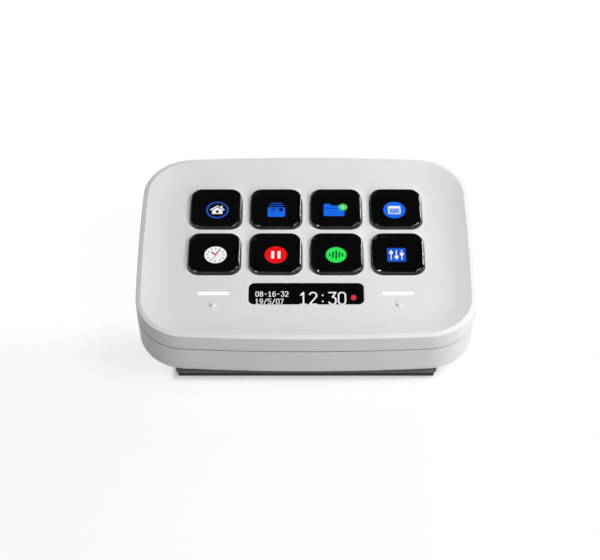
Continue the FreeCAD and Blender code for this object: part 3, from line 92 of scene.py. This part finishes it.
def colour(red, green, blue):
    """A colour that is given as it shows on a screen, from 0 to 255."""
    steps = [level / 255 for level in (red, green, blue)]
    linear = [s / 12.92 if s <= 0.04045 else ((s + 0.055) / 1.055) ** 2.4 for s in steps]
    return (*linear, 1.0)


def grey(level):
    """A grey of that much light, from 0 to 1."""
    return (level, level, level, 1.0)


# Nodes


class Socket:
    """One output in a node tree. Sums that are written with it add Math nodes."""

    def __init__(self, tree, output=None):
        self.tree = tree
        self.output = output

    def node(self, kind, settings=None, inputs=None, output=0):
        """A new node of that kind: its settings first, then the values or links of its inputs."""
        made = self.tree.nodes.new(kind)
        for setting, choice in (settings or {}).items():
            setattr(made, setting, choice)
        for place, given in (inputs or {}).items():
            if isinstance(given, Socket):
                self.tree.links.new(given.output, made.inputs[place])
            else:
                made.inputs[place].default_value = given
        return Socket(self.tree, made.outputs[output] if len(made.outputs) else None)

    def also(self, output):
        """Another output of the same node."""
        return Socket(self.tree, self.output.node.outputs[output])

    def math(self, operation, *terms):
        return self.node("ShaderNodeMath", {"operation": operation}, dict(enumerate(terms)))

    def __add__(self, other):
        return self.math("ADD", self, other)

    __radd__ = __add__

    def __mul__(self, other):
        return self.math("MULTIPLY", self, other)

    __rmul__ = __mul__

    def __sub__(self, other):
        return self.math("SUBTRACT", self, other)

    def __rsub__(self, other):
        return self.math("SUBTRACT", other, self)

    def absolute(self):
        return self.math("ABSOLUTE", self)

    def ramps(self, pitch):
        """Ramps from 0 to 1, one after another, each pitch millimetres long."""
        return self.math("FRACT", self * (1 / (pitch * MM)))

    def over(self, level):
        """1 where this is more than level, and 0 elsewhere."""
        return self.math("GREATER_THAN", self, level)

    def most(self, other):
        return self.math("MAXIMUM", self, other)

    def ease(self, start, end):
        """A smooth step from 0 at start to 1 at end."""
        return self.node(
            "ShaderNodeMapRange",
            {"interpolation_type": "SMOOTHSTEP"},
            {"Value": self, "From Min": start, "From Max": end},
        )

    def pick(self, low, high):
        """The colour low where this is 0, and high where it is 1."""
        return self.node(
            "ShaderNodeMix", {"data_type": "RGBA"}, {0: self, 6: low, 7: high}, output=2
        )

    def place(self):
        """The point on the piece at rest, in metres."""
        return self.node("ShaderNodeTexCoord", output="Object")

    def axes(self, place=None):
        """The x, y and z of a point."""
        x = self.node("ShaderNodeSeparateXYZ", inputs={0: place or self.place()})
        return x, x.also("Y"), x.also("Z")

    def stretched(self, x, y, z):
        """The point on the piece with each axis scaled."""
        return self.node(
            "ShaderNodeVectorMath",
            {"operation": "MULTIPLY"},
            {0: self.place(), 1: (x, y, z)},
        )

    def noise(self, size, detail=2.0, place=None):
        """Soft noise from 0 to 1, with marks about size metres wide."""
        return self.node(
            "ShaderNodeTexNoise",
            inputs={"Vector": place or self.place(), "Scale": 1 / size, "Detail": detail},
        )

    def bump(self, depth):
        """A normal from this as a height, where 1 stands depth metres proud."""
        return self.node(
            "ShaderNodeBump", inputs={"Height": self, "Strength": 1.0, "Distance": depth}
        )


def finish(name, surface):
    """A material whose Principled sockets are what surface returns for its tree."""
    material = bpy.data.materials.new(name)
    material.use_nodes = True
    material.node_tree.nodes.clear()
    tree = Socket(material.node_tree)
    shader = tree.node("ShaderNodeBsdfPrincipled", inputs=surface(tree))
    tree.node("ShaderNodeOutputMaterial", inputs={"Surface": shader})
    return material


# Plastics and rubber


def moulded_white(tree):
    """Satin white housing plastic with a fine mould grain, and a painted shade along the seam."""
    clouds = tree.noise(0.014)
    grain = tree.noise(0.00032, 3.0)
    _, y, z = tree.axes()
    rise = (z - SLAB_ORIGIN.z) * math.cos(FACE_TILT) - (y - SLAB_ORIGIN.y) * math.sin(FACE_TILT)
    # Painted shade: a band along the seam between the shells, full at its middle and fading out
    clear_of_seam_shade = (rise - SEAM_LEVEL * MM).absolute().ease(SEAM_SHADE_CORE * MM, SEAM_SHADE_REACH * MM)
    plastic = clouds.pick(colour(231, 231, 231), colour(235, 235, 235))
    return {
        # The seam's painted shade is this grey
        "Base Color": clear_of_seam_shade.pick(colour(134, 134, 136), plastic),
        "Roughness": 0.36 + clouds * 0.06 + grain * 0.05,
        "Normal": grain.bump(0.0000035),
    }


def textured_grey(tree):
    """Matt dark grey plastic with a spark-eroded texture."""
    clouds = tree.noise(0.01)
    grain = tree.noise(0.00045, 4.0)
    return {
        "Base Color": (clouds * 0.5 + grain * 0.5).pick(colour(84, 84, 85), colour(98, 98, 99)),
        "Roughness": 0.5 + grain * 0.15,
        "Normal": grain.bump(0.000012),
    }


def foot_rubber(tree):
    """Matt black rubber."""
    grain = tree.noise(0.0004, 4.0)
    dust = tree.noise(0.004, 5.0).ease(0.45, 0.8)
    return {
        "Base Color": dust.pick(colour(46, 46, 47), colour(60, 60, 60)),
        "Roughness": 0.72 + grain * 0.16,
        "Normal": grain.bump(0.00001),
    }


def gloss_black(tree):
    """Glossy black plastic of a key's frame."""
    wear = tree.noise(0.0015, 4.0)
    return {
        "Base Color": wear.pick(colour(12, 12, 13), colour(18, 18, 19)),
        "Roughness": 0.16 + wear * 0.14,
        "Normal": tree.noise(0.0006).bump(0.0000012),
    }


def matt_black(tree):
    """Filled black nylon of connectors."""
    grain = tree.noise(0.0003, 4.0)
    return {
        "Base Color": grain.pick(colour(26, 26, 27), colour(44, 44, 45)),
        "Roughness": 0.55 + grain * 0.2,
        "Normal": grain.bump(0.000006),
    }


def chip_resin(tree):
    """Black epoxy of chips."""
    grain = tree.noise(0.0002, 4.0)
    return {
        "Base Color": grain.pick(colour(22, 22, 24), colour(38, 38, 40)),
        "Roughness": 0.6 + grain * 0.15,
        "Normal": grain.bump(0.000005),
    }


def milky_silicone(tree):
    """Translucent grey silicone."""
    clouds = tree.noise(0.006, 3.0)
    return {
        "Base Color": clouds.pick(colour(176, 180, 178), colour(200, 203, 200)),
        "Roughness": 0.5 + clouds * 0.12,
        "Subsurface Weight": 0.2,
        "Subsurface Radius": (0.001, 0.001, 0.001),
    }


def black_foam(tree):
    """Fine black foam with open cells."""
    cells = tree.node(
        "ShaderNodeTexVoronoi", inputs={"Vector": tree.place(), "Scale": FOAM_CELLS}
    )
    return {
        "Base Color": cells.pick(colour(18, 18, 18), colour(52, 52, 52)),
        "Roughness": 0.9,
        "Normal": cells.bump(0.00008),
    }


def white_diffuser(tree):
    """Milky acrylic sheet."""
    clouds = tree.noise(0.01)
    return {
        "Base Color": clouds.pick(colour(232, 234, 233), colour(242, 243, 242)),
        "Roughness": 0.3 + clouds * 0.1,
    }


def cable_film(tree):
    """Amber film of a flat cable, with its copper tracks."""
    across = tree.axes()[0]
    track = across.ramps(CABLE_TRACK_PITCH).over(0.45)
    return {
        "Base Color": track.pick(colour(150, 88, 20), colour(190, 116, 42)),
        "Roughness": 0.3 + track * 0.08,
    }


# Metals


def rolled_steel(shade, roughness):
    """A surface of sheet steel with its rolling marks along x."""

    def surface(tree):
        marks = tree.noise(0.0005, 3.0, tree.stretched(0.05, 1, 1))
        return {
            "Base Color": marks.pick(colour(*[s - 12 for s in shade]), colour(*shade)),
            "Metallic": 1.0,
            "Roughness": roughness + marks * 0.12,
            "Normal": marks.bump(0.000003),
        }

    return surface


def turned_steel(tree):
    """Plated screw steel."""
    marks = tree.noise(0.0004, 3.0)
    return {
        "Base Color": marks.pick(colour(132, 132, 134), colour(168, 168, 170)),
        "Metallic": 1.0,
        "Roughness": 0.28 + marks * 0.14,
        "Normal": marks.bump(0.000002),
    }


def pin_gold(tree):
    """Gold flash on spring contacts."""
    marks = tree.noise(0.0003, 3.0)
    return {
        "Base Color": marks.pick(colour(214, 168, 84), colour(238, 200, 120)),
        "Metallic": 1.0,
        "Roughness": 0.2 + marks * 0.12,
    }


def solder_resist(tree):
    """Green resist over copper, with tracks that show through it."""
    x, y, _ = tree.axes()
    turns = tree.noise(0.004, 0.0)
    track = (x + y * turns).ramps(BOARD_TRACK_PITCH).over(0.62)
    return {
        "Base Color": track.pick(colour(10, 66, 40), colour(22, 92, 56)),
        "Roughness": 0.32 - track * 0.06,
        "Normal": track.bump(0.00002),
    }


# Clear and lit pieces


def clear_acrylic(tree):
    """Polished clear acrylic, with faint smears on its gloss."""
    smears = tree.noise(0.005, 5.0).ease(0.5, 0.75)
    return {
        "Base Color": (1.0, 1.0, 1.0, 1.0),
        "Roughness": smears * 0.02,
        "IOR": 1.49,
        "Transmission Weight": 1.0,
    }


def pixel_lines(tree, start):
    """1 along the lines between a display's pixels, from 0 at start of the way across each."""
    x, y, _ = tree.axes()
    return x.ramps(PIXEL).most(y.ramps(PIXEL)).ease(start, 1.0)


def display_glass(tree):
    """Dark polished panel glass with its fine grid of cells."""
    return {
        "Base Color": pixel_lines(tree, 0.85).pick(colour(10, 10, 13), colour(20, 20, 24)),
        "Roughness": 0.08,
    }


def pixels(tree, shade):
    """A lit display's colour, darker along the lines between its pixels."""
    line_shade = (*[level * PIXEL_LINE_LEVEL for level in shade[:3]], 1.0)
    return pixel_lines(tree, 0.8).pick(shade, line_shade)


def lit(shade):
    """A surface of display pixels that shine in one colour."""

    def surface(tree):
        return {
            "Base Color": (0, 0, 0, 1),
            "Roughness": 0.5,
            "Specular IOR Level": 0.0,
            "Emission Color": pixels(tree, colour(*shade)),
            "Emission Strength": 1.0,
        }

    return surface


def light_guide(tree):
    """Milky guide that glows evenly and fades a little at its ends."""
    along = (tree.axes()[0].absolute() - BAR_PLACE * MM) * (2 / (BAR_WIDTH * MM))
    fade = along.absolute().ease(0.75, 1.05)
    return {
        "Base Color": colour(236, 238, 240),
        "Roughness": 0.35,
        "Emission Color": fade.pick(colour(252, 253, 255), colour(226, 230, 236)),
        "Emission Strength": 0.4,
    }


def lamp_resin(tree):
    """Pale yellow resin of the small lamps."""
    glow = tree.noise(0.0006)
    return {
        "Base Color": glow.pick(colour(246, 240, 190), colour(252, 248, 214)),
        "Roughness": 0.25 + glow * 0.1,
    }


FINISHES = {
    "white_plastic": moulded_white,
    "grey_plastic": textured_grey,
    "foot_rubber": foot_rubber,
    "weight_steel": rolled_steel((176, 176, 178), 0.34),
    "key_clear": clear_acrylic,
    "key_black": gloss_black,
    "silicone": milky_silicone,
    "circuit_board": solder_resist,
    "foam": black_foam,
    "display_glass": display_glass,
    "diffuser_plastic": white_diffuser,
    "tray_steel": rolled_steel((196, 196, 198), 0.26),
    "cable_film": cable_film,
    "connector_plastic": matt_black,
    "window_clear": clear_acrylic,
    "light_guide": light_guide,
    "lamp": lamp_resin,
    "pin_gold": pin_gold,
    "chip_resin": chip_resin,
    "socket_steel": rolled_steel((206, 206, 208), 0.2),
    "screw_steel": turned_steel,
}

PICTURE_COLOURS = {
    "black": (5, 5, 6),
    "white": (250, 251, 252),
    "blue": (24, 112, 246),
    "deep_blue": (40, 86, 190),
    "royal_blue": (30, 92, 214),
    "green": (78, 216, 100),
    "lime": (46, 240, 92),
    "red": (246, 22, 24),
    "coral": (226, 60, 70),
    "ink": (14, 18, 22),
    "pale": (206, 232, 250),
}


def dress_nodes():
    """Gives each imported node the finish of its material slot, and collects the clear pieces."""
    made = {slot: finish(slot + "_finish", surface) for slot, surface in FINISHES.items()}
    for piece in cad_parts.values():
        for held in piece.material_slots:
            slot = held.material.name.split(".")[0]
            held.material = made[slot]
            if slot in ("key_clear", "window_clear"):
                clear_pieces.objects.link(piece)


# Outlines, as lists of points in millimetres


def circle(x, y, radius, count=72):
    """Points round a circle."""
    turns = [2 * math.pi * step / count for step in range(count)]
    return [(x + radius * math.cos(a), y + radius * math.sin(a)) for a in turns]


def rounded(x, y, width, height, radius, count=8):
    """Points round a rectangle with round corners, centred on x and y."""
    points = []
    for quarter, (side, end) in enumerate(((1, 1), (-1, 1), (-1, -1), (1, -1))):
        corner_x = x + side * (width / 2 - radius)
        corner_y = y + end * (height / 2 - radius)
        for step in range(count + 1):
            a = math.pi / 2 * (quarter + step / count)
            points.append((corner_x + radius * math.cos(a), corner_y + radius * math.sin(a)))
    return points


def stroke(x0, y0, x1, y1, width, count=10):
    """Points round a line with round ends."""
    a = math.atan2(y1 - y0, x1 - x0)
    points = []
    for x, y, start in ((x1, y1, a - math.pi / 2), (x0, y0, a + math.pi / 2)):
        for step in range(count + 1):
            b = start + math.pi * step / count
            points.append((x + width / 2 * math.cos(b), y + width / 2 * math.sin(b)))
    return points


def moved(outline, x, y):
    return [(px + x, py + y) for px, py in outline]


# Pictures on the keys, centred on 0. Each is a list of layers from the panel up: a colour and its
# outlines, where an outline inside another is a hole.


def house_picture():
    walls = [(-1.7, 0.2), (-1.7, -1.75), (1.7, -1.75), (1.7, 0.2), (0, 1.5)]
    roof = [(-2.45, 0.15), (-2.15, -0.25), (0, 1.5), (2.15, -0.25), (2.45, 0.15), (0, 2.1)]
    chimney = [(1.15, 1.1), (1.15, 1.9), (1.65, 1.9), (1.65, 0.7)]
    return [
        ("deep_blue", [circle(0, 0, 3.7), circle(0, 0, 3.1)]),
        ("white", [walls, circle(0, -0.75, 0.55)]),
        ("black", [moved(roof, 0, -0.3)]),
        ("white", [roof]),
        ("white", [chimney]),
    ]


def cards_picture():
    return [
        ("blue", [rounded(0, -0.9, 5.7, 4.2, 0.6)]),
        ("blue", [stroke(-2.4, 2.05, 2.4, 2.05, 0.28)]),
        ("blue", [stroke(-1.8, 2.95, 1.8, 2.95, 0.26)]),
        ("ink", [stroke(-1.9, 0.55, 0.0, 0.55, 0.36)]),
        ("ink", [stroke(-1.9, -0.3, -0.6, -0.3, 0.36)]),
        ("ink", [circle(1.5, 0.15, 0.72)]),
    ]


def folder_picture():
    back = [(-3.85, 0.95), (-3.85, 2.2), (-3.4, 2.75), (-1.9, 2.75), (-1.2, 2.0), (2.9, 2.0)]
    back.append((2.9, 0.95))
    return [
        ("blue", [back]),
        ("blue", [rounded(-0.45, -1.0, 6.8, 3.4, 0.4)]),
        ("green", [circle(2.45, 1.25, 1.5)]),
        ("pale", [stroke(1.65, 1.25, 3.25, 1.25, 0.4)]),
        ("pale", [stroke(2.45, 0.5, 2.45, 2.0, 0.42)]),
    ]


def agenda_picture():
    page = [rounded(0, 0, 4.1, 3.6, 0.6), rounded(0, -0.4, 3.3, 2.1, 0.2)]
    days = [
        ("pale", [rounded(-1.2 + 0.8 * column, 0.05 - 0.9 * row, 0.42, 0.55, 0.08, 3)])
        for row in range(2)
        for column in range(4)
    ]
    return [("blue", [circle(0, 0, 3.65)]), ("white", page), *days]


def clock_picture():
    marks = []
    for hour in range(12):
        a = math.pi / 6 * hour
        marks.append(
            ("deep_blue", [
                stroke(2.4 * math.cos(a), 2.4 * math.sin(a),
                       2.9 * math.cos(a), 2.9 * math.sin(a), 0.26, 5)
            ])
        )
    return [
        ("white", [circle(0, 0, 3.55)]),
        *marks,
        ("ink", [stroke(0, 0, -1.25, 1.1, 0.46)]),
        ("ink", [stroke(0, 0, 1.1, 1.85, 0.36)]),
        ("red", [stroke(0.4, 0.5, -0.9, -1.9, 0.2)]),
        ("red", [circle(0, 0, 0.36)]),
    ]


def pause_picture():
    return [
        ("red", [circle(0, 0, 3.6)]),
        ("white", [rounded(-1.0, 0, 0.95, 3.1, 0.25)]),
        ("white", [rounded(1.0, 0, 0.95, 3.1, 0.25)]),
    ]


def levels_picture():
    heights = (1.2, 2.6, 3.6, 2.2, 1.4)
    bars = [
        ("ink", [rounded(-2.0 + 1.0 * place, 0, 0.46, height, 0.22)])
        for place, height in enumerate(heights)
    ]
    return [("lime", [circle(0, 0, 3.3)]), *bars]


def sliders_picture():
    layers = [("royal_blue", [rounded(0, 0, 6.0, 5.8, 0.5)])]
    for place, knob in ((-1.7, 0.9), (0.0, -0.9), (1.7, 0.3)):
        layers.append(("white", [stroke(place, -1.9, place, 1.9, 0.34)]))
        layers.append(("white", [circle(place, knob, 0.68)]))
    return layers


# In the order of the keys: the rear row from the left, then the front row
KEY_PICTURES = (
    house_picture,
    cards_picture,
    folder_picture,
    agenda_picture,
    clock_picture,
    pause_picture,
    levels_picture,
    sliders_picture,
)


def bell_picture():
    """A small alarm bell, centred on its own middle."""
    dome = [(-1.05, -0.75), (-0.8, -0.4), (-0.8, 0.35)]
    dome += [
        (0.8 * math.cos(math.pi * (1 - s / 12)), 0.35 + 0.75 * math.sin(math.pi * (1 - s / 12)))
        for s in range(1, 12)
    ]
    dome += [(0.8, 0.35), (0.8, -0.4), (1.05, -0.75)]
    return [dome, moved(circle(0, 0, 0.26, 20), 0, -1.02)]


# Meshes


def curve_mesh(curve, thickness):
    """The thin closed sheet that fills a flat curve."""
    curve.extrude = thickness / 2
    holder = bpy.data.objects.new("holder", curve)
    bpy.context.scene.collection.objects.link(holder)
    bpy.context.view_layer.update()
    made = bpy.data.meshes.new_from_object(
        holder.evaluated_get(bpy.context.evaluated_depsgraph_get())
    )
    bpy.data.objects.remove(holder)
    bpy.data.curves.remove(curve)
    return made


def sheet_mesh(outlines, thickness):
    """A thin sheet with those outlines."""
    curve = bpy.data.curves.new("outline", "CURVE")
    curve.dimensions = "2D"
    curve.fill_mode = "BOTH"
    for outline in outlines:
        spline = curve.splines.new("POLY")
        spline.points.add(len(outline) - 1)
        for point, (x, y) in zip(spline.points, outline):
            point.co = (x, y, 0, 1)
        spline.use_cyclic_u = True
    return curve_mesh(curve, thickness)


# Slim display numerals, as lines on a grid
NUMERAL_GRID = (4, 6)
NUMERALS = {
    "0": [[(1, 0), (3, 0), (4, 1), (4, 5), (3, 6), (1, 6), (0, 5), (0, 1), (1, 0)]],
    "1": [[(0.5, 4.7), (2, 6), (2, 0)], [(0.4, 0), (3.6, 0)]],
    "2": [[(0, 5), (1, 6), (3, 6), (4, 5), (4, 4), (0, 0), (4, 0)]],
    "3": [[(0, 6), (4, 6), (2, 3.6), (3, 3.6), (4, 2.6), (4, 1), (3, 0), (1, 0), (0, 1)]],
    "5": [[(4, 6), (0, 6), (0, 3.5), (3, 3.5), (4, 2.6), (4, 1), (3, 0), (1, 0), (0, 0.8)]],
    "6": [[(3.6, 6), (2, 6), (0, 4), (0, 1), (1, 0), (3, 0), (4, 1), (4, 2.6), (3, 3.5),
           (0.2, 3.5)]],
    "7": [[(0, 6), (4, 6), (1.4, 0)]],
    "8": [[(1, 3.2), (0, 4.2), (0, 5), (1, 6), (3, 6), (4, 5), (4, 4.2), (3, 3.2), (1, 3.2),
           (0, 2.2), (0, 1), (1, 0), (3, 0), (4, 1), (4, 2.2), (3, 3.2)]],
    "9": [[(0.4, 0), (2, 0), (4, 2), (4, 5), (3, 6), (1, 6), (0, 5), (0, 3.4), (1, 2.5),
           (3.8, 2.5)]],
    ":": [[(2, 1.3), (2, 1.5)], [(2, 4.5), (2, 4.7)]],
    "-": [[(0.8, 3), (3.2, 3)]],
    "/": [[(0.2, -0.2), (3.8, 6.2)]],
}


# What the strip shows, in millimetres on the face: each line's text, its lower left corner, and
# its numerals' pitch, width, height and line
STRIP_NUMBERS = (
    ("12:30", -1.9, -22.7, 3.02, 2.15, 4.75, 0.52),
    ("08-16-32", -15.8, -19.5, 1.33, 0.85, 1.9, 0.27),
    ("19/5/07", -15.8, -22.6, 1.3, 0.85, 2.0, 0.27),
)
BELL_PLACE = (14.9, -20.0)


def numeral_strokes(text, x, y, pitch, width, height, line):
    """Outlines of the lines of some numerals, from their lower left corner at x, y."""
    step_x, step_y = width / NUMERAL_GRID[0], height / NUMERAL_GRID[1]
    outlines = []
    for place, sign in enumerate(text):
        left = x + pitch * place
        for path in NUMERALS[sign]:
            points = [(left + px * step_x, y + py * step_y) for px, py in path]
            for start, end in zip(points, points[1:]):
                outlines.append(stroke(*start, *end, line, 5))
    return outlines


class Picture:
    """A black panel with thin lit sheets stacked on it, as one piece."""

    def __init__(self):
        self.mesh = bmesh.new()
        self.colours = []
        self.top = 0.0

    def add(self, shade, sheet, thickness, level):
        """Adds a sheet whose upper side is at level above the panel's face."""
        if shade not in self.colours:
            self.colours.append(shade)
        sheet.transform(Matrix.Translation((0, 0, level - thickness / 2)))
        old = len(self.mesh.faces)
        self.mesh.from_mesh(sheet)
        bpy.data.meshes.remove(sheet)
        self.mesh.faces.ensure_lookup_table()
        for face in self.mesh.faces[old:]:
            face.material_index = self.colours.index(shade)
            face.smooth = False

    def panel(self, width, height, radius):
        outline = rounded(0, 0, width, height, radius)
        self.add("black", sheet_mesh([outline], PANEL_THICKNESS), PANEL_THICKNESS, 0.0)

    def layer(self, shade, outlines, step):
        level = LAYER_THICKNESS * step
        self.add(shade, sheet_mesh(outlines, LAYER_THICKNESS), LAYER_THICKNESS, level)

    def piece(self, name, body, slot, place):
        """The finished piece, with its panel's face at place in the slab's frame."""
        bmesh.ops.remove_doubles(self.mesh, verts=self.mesh.verts, dist=WELD)
        mesh = bpy.data.meshes.new(name)
        self.mesh.to_mesh(mesh)
        self.mesh.free()
        mesh.transform(SLAB @ Matrix.Scale(MM, 4) @ Matrix.Translation(place))
        for shade in self.colours:
            mesh.materials.append(picture_finishes[shade])
        made = bpy.data.objects.new(name, mesh)
        bpy.context.scene.collection.objects.link(made)
        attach(made, body)
        return made


def key_pictures():
    """The picture under each key's cap."""
    for index, layers in enumerate(KEY_PICTURES):
        row, column = divmod(index, KEY_COLUMNS)
        x = KEY_PITCH * (column - (KEY_COLUMNS - 1) / 2)
        v = REAR_ROW - KEY_PITCH * row
        picture = Picture()
        picture.panel(PANEL_SIZE, PANEL_SIZE, PANEL_RADIUS)
        for step, (shade, outlines) in enumerate(layers(), 1):
            shifted = [moved(outline, -PICTURE_DRAW * x, PICTURE_RISE) for outline in outlines]
            picture.layer(shade, shifted, min(step, TOP_LAYER))
        picture.piece(
            f"key_{index + 1}_picture", f"key_{index + 1}", "display_glass",
            (x, v, CAP_UNDER + KEY_PANEL_LIFT),
        )


def strip_picture():
    """The clock on the display strip."""
    picture = Picture()
    picture.panel(*STRIP_PANEL, STRIP_RADIUS)
    for text, x, v, *form in STRIP_NUMBERS:
        for outline in numeral_strokes(text, x, v - STRIP_PLACE, *form):
            picture.layer("white", [outline], 1)
    bell_x, bell_v = BELL_PLACE
    for outline in bell_picture():
        picture.layer("coral", [moved(outline, bell_x, bell_v - STRIP_PLACE)], 1)
    picture.piece(
        "strip_picture", "case", "display_glass",
        (0, STRIP_PLACE, STRIP_UNDER + STRIP_PANEL_LIFT),
    )


# Studio

# The floor's width in metres, and how far it is under the pad to keep clear of it
FLOOR_SIZE = 8.0
FLOOR_DROP = 0.00002

# The floor's paper glows least under the plinth and close round it, which keeps more of the real
# shadow there and paints some shade, and most behind the front of the case, which paints light
# over the shadow there. Places are in millimetres.
PLINTH_HALF_WIDTH = 40.8
PLINTH_HALF_LENGTH = 38.2
SHADOW_REACH = 2.0
BRIGHT_FROM = -30.0
BRIGHT_BEYOND = -10.0

# How much light the paper takes from the lamps, and its own glow, from 0 to 1
CLOSE_PAPER, CLOSE_GLOW = 0.7, 0.3
FRONT_PAPER, FRONT_GLOW = 0.22, 0.78
REAR_PAPER, REAR_GLOW = 0.06, 0.97
UNSEEN_PAPER = 0.42

# How bright the room mirrors in gloss, what its low part adds, how much the room lights, and how
# steep upward the low part fades from and to
ROOM_SHINE = 0.04
LOW_ROOM_SHINE = 0.55
ROOM_LIGHT = 0.03
LOW_ROOM_FADE = (0.2, 0.5)

# The camera, in the slab's frame: how steeply it looks at the face, how far off, and how far its
# axis passes from the slab's origin, with its lens and sensor
CAMERA_RISE = math.radians(49.362)
CAMERA_DISTANCE = 560.46
CAMERA_SIDE = -1.914
CAMERA_UP = -11.623
CAMERA_LENS = 105.21
CAMERA_SENSOR = 36.0


def white_floor():
    """A pale floor that shows white, keeps the object's shadow in front, paints some shade close
    round the plinth and paints light over the shadow behind the case.
    """
    mesh = bpy.data.meshes.new("floor")
    shape = bmesh.new()
    bmesh.ops.create_grid(shape, x_segments=1, y_segments=1, size=FLOOR_SIZE / 2)
    shape.to_mesh(mesh)
    shape.free()

    def surface(tree):
        path = tree.node("ShaderNodeLightPath", output="Is Camera Ray")
        seen = path.most(path.also("Is Glossy Ray")).most(path.also("Is Transmission Ray"))
        x, y, _ = tree.axes()
        beside = x.absolute() - PLINTH_HALF_WIDTH * MM
        before = y.absolute() - PLINTH_HALF_LENGTH * MM
        # Painted shade: the paper glows less close round the plinth
        off = beside.most(before).ease(0.0, SHADOW_REACH * MM)
        # Painted light: behind the front of the case the paper glows almost white, over the shadow
        # there
        behind = y.ease(BRIGHT_FROM * MM, BRIGHT_BEYOND * MM)
        open_paper = behind.pick(grey(FRONT_PAPER), grey(REAR_PAPER))
        open_glow = behind.pick(grey(FRONT_GLOW), grey(REAR_GLOW))
        paper = off.pick(grey(CLOSE_PAPER), open_paper)
        glow = off.pick(grey(CLOSE_GLOW), open_glow)
        return {
            "Base Color": seen.pick(grey(UNSEEN_PAPER), paper),
            "Roughness": 0.9,
            "Specular IOR Level": 0.0,
            "Emission Color": seen.pick(grey(0), glow),
            "Emission Strength": 1.0,
        }

    mesh.materials.append(finish("floor_paper", surface))
    floor = bpy.data.objects.new("floor", mesh)
    floor.location.z = -FLOOR_DROP
    bpy.context.scene.collection.objects.link(floor)


def studio_room():
    """White where the camera sees past the floor, a dim room for the light on the object."""
    world = bpy.data.worlds.new("studio")
    world.use_nodes = True
    world.node_tree.nodes.clear()
    bpy.context.scene.world = world
    tree = Socket(world.node_tree)
    shown = tree.node("ShaderNodeLightPath", output="Is Camera Ray")
    mirrored = shown.also("Is Glossy Ray")
    up = tree.axes(tree.node("ShaderNodeTexCoord", output="Generated"))[2]
    low = 1 - up.ease(*LOW_ROOM_FADE)
    reflection = low * LOW_ROOM_SHINE + ROOM_SHINE
    room = mirrored * reflection + (1 - mirrored) * ROOM_LIGHT
    strength = shown + (1 - shown) * room
    sky = tree.node("ShaderNodeBackground", inputs={"Color": grey(1), "Strength": strength})
    tree.node("ShaderNodeOutputWorld", inputs={"Surface": sky})


def softbox(name, place, target, width, height, power, only_shines=False):
    """A flat soft lamp at place that faces target. One that only shines lights nothing but the
    clear pieces, where it shows as a glint."""
    lamp = bpy.data.lights.new(name, "AREA")
    lamp.shape = "RECTANGLE"
    lamp.size, lamp.size_y = width, height
    lamp.energy = power
    holder = bpy.data.objects.new(name, lamp)
    holder.location = place
    aim = Vector(target) - Vector(place)
    holder.rotation_euler = aim.to_track_quat("-Z", "Y").to_euler()
    if only_shines:
        holder.light_linking.receiver_collection = clear_pieces
    bpy.context.scene.collection.objects.link(holder)


def studio_lamps():
    """Soft lamps: the main ones on the right, above and in front, weak ones all round, and two
    that only make glints."""
    softbox("upper_softbox", (0.38, -0.05, 0.5), (0, 0, 0), 0.35, 0.35, 3.1)
    softbox("front_softbox", (0.35, -0.55, 0.3), (0, 0, 0.01), 0.35, 0.3, 2.15)
    softbox("right_softbox", (0.6, -0.05, 0.15), (0, 0, 0.01), 0.4, 0.22, 0.2)
    softbox("left_softbox", (-0.6, 0, 0.2), (0, 0, 0.01), 0.3, 0.2, 0.4)
    softbox("rear_softbox", (0.3, 0.5, 0.3), (0, 0, 0.01), 0.3, 0.3, 0.6)
    softbox("rear_fill", (0.1, 0.7, 0.035), (0, 0, 0.015), 0.5, 0.04, 1.6)
    softbox("front_left_glint", (-0.3, -0.42, 0.26), (0, 0, 0.02), 0.12, 0.3, 9.0, True)
    softbox("right_glint", (0.44, 0.4, 0.3), (0, 0, 0.02), 0.14, 0.35, 3.0, True)


def set_camera():
    """The camera at the photograph's angle."""
    camera = bpy.data.objects.new("camera", bpy.data.cameras.new("camera"))
    camera.data.lens = CAMERA_LENS
    camera.data.sensor_width = CAMERA_SENSOR
    turn = Matrix.Rotation(math.pi / 2 - CAMERA_RISE, 4, "X")
    away = Matrix.Translation(Vector((CAMERA_SIDE, CAMERA_UP, CAMERA_DISTANCE)) * MM)
    camera.matrix_world = SLAB @ turn @ away
    bpy.context.scene.collection.objects.link(camera)
    bpy.context.scene.camera = camera


# The caps and the strip's window, which the glint lamps light
clear_pieces = bpy.data.collections.new("clear_pieces")
dress_nodes()
picture_finishes = {
    name: finish(f"picture_{name}", lit(shade)) for name, shade in PICTURE_COLOURS.items()
}
key_pictures()
strip_picture()
white_floor()
studio_room()
studio_lamps()
set_camera()
bpy.context.scene.view_settings.view_transform = "Standard"
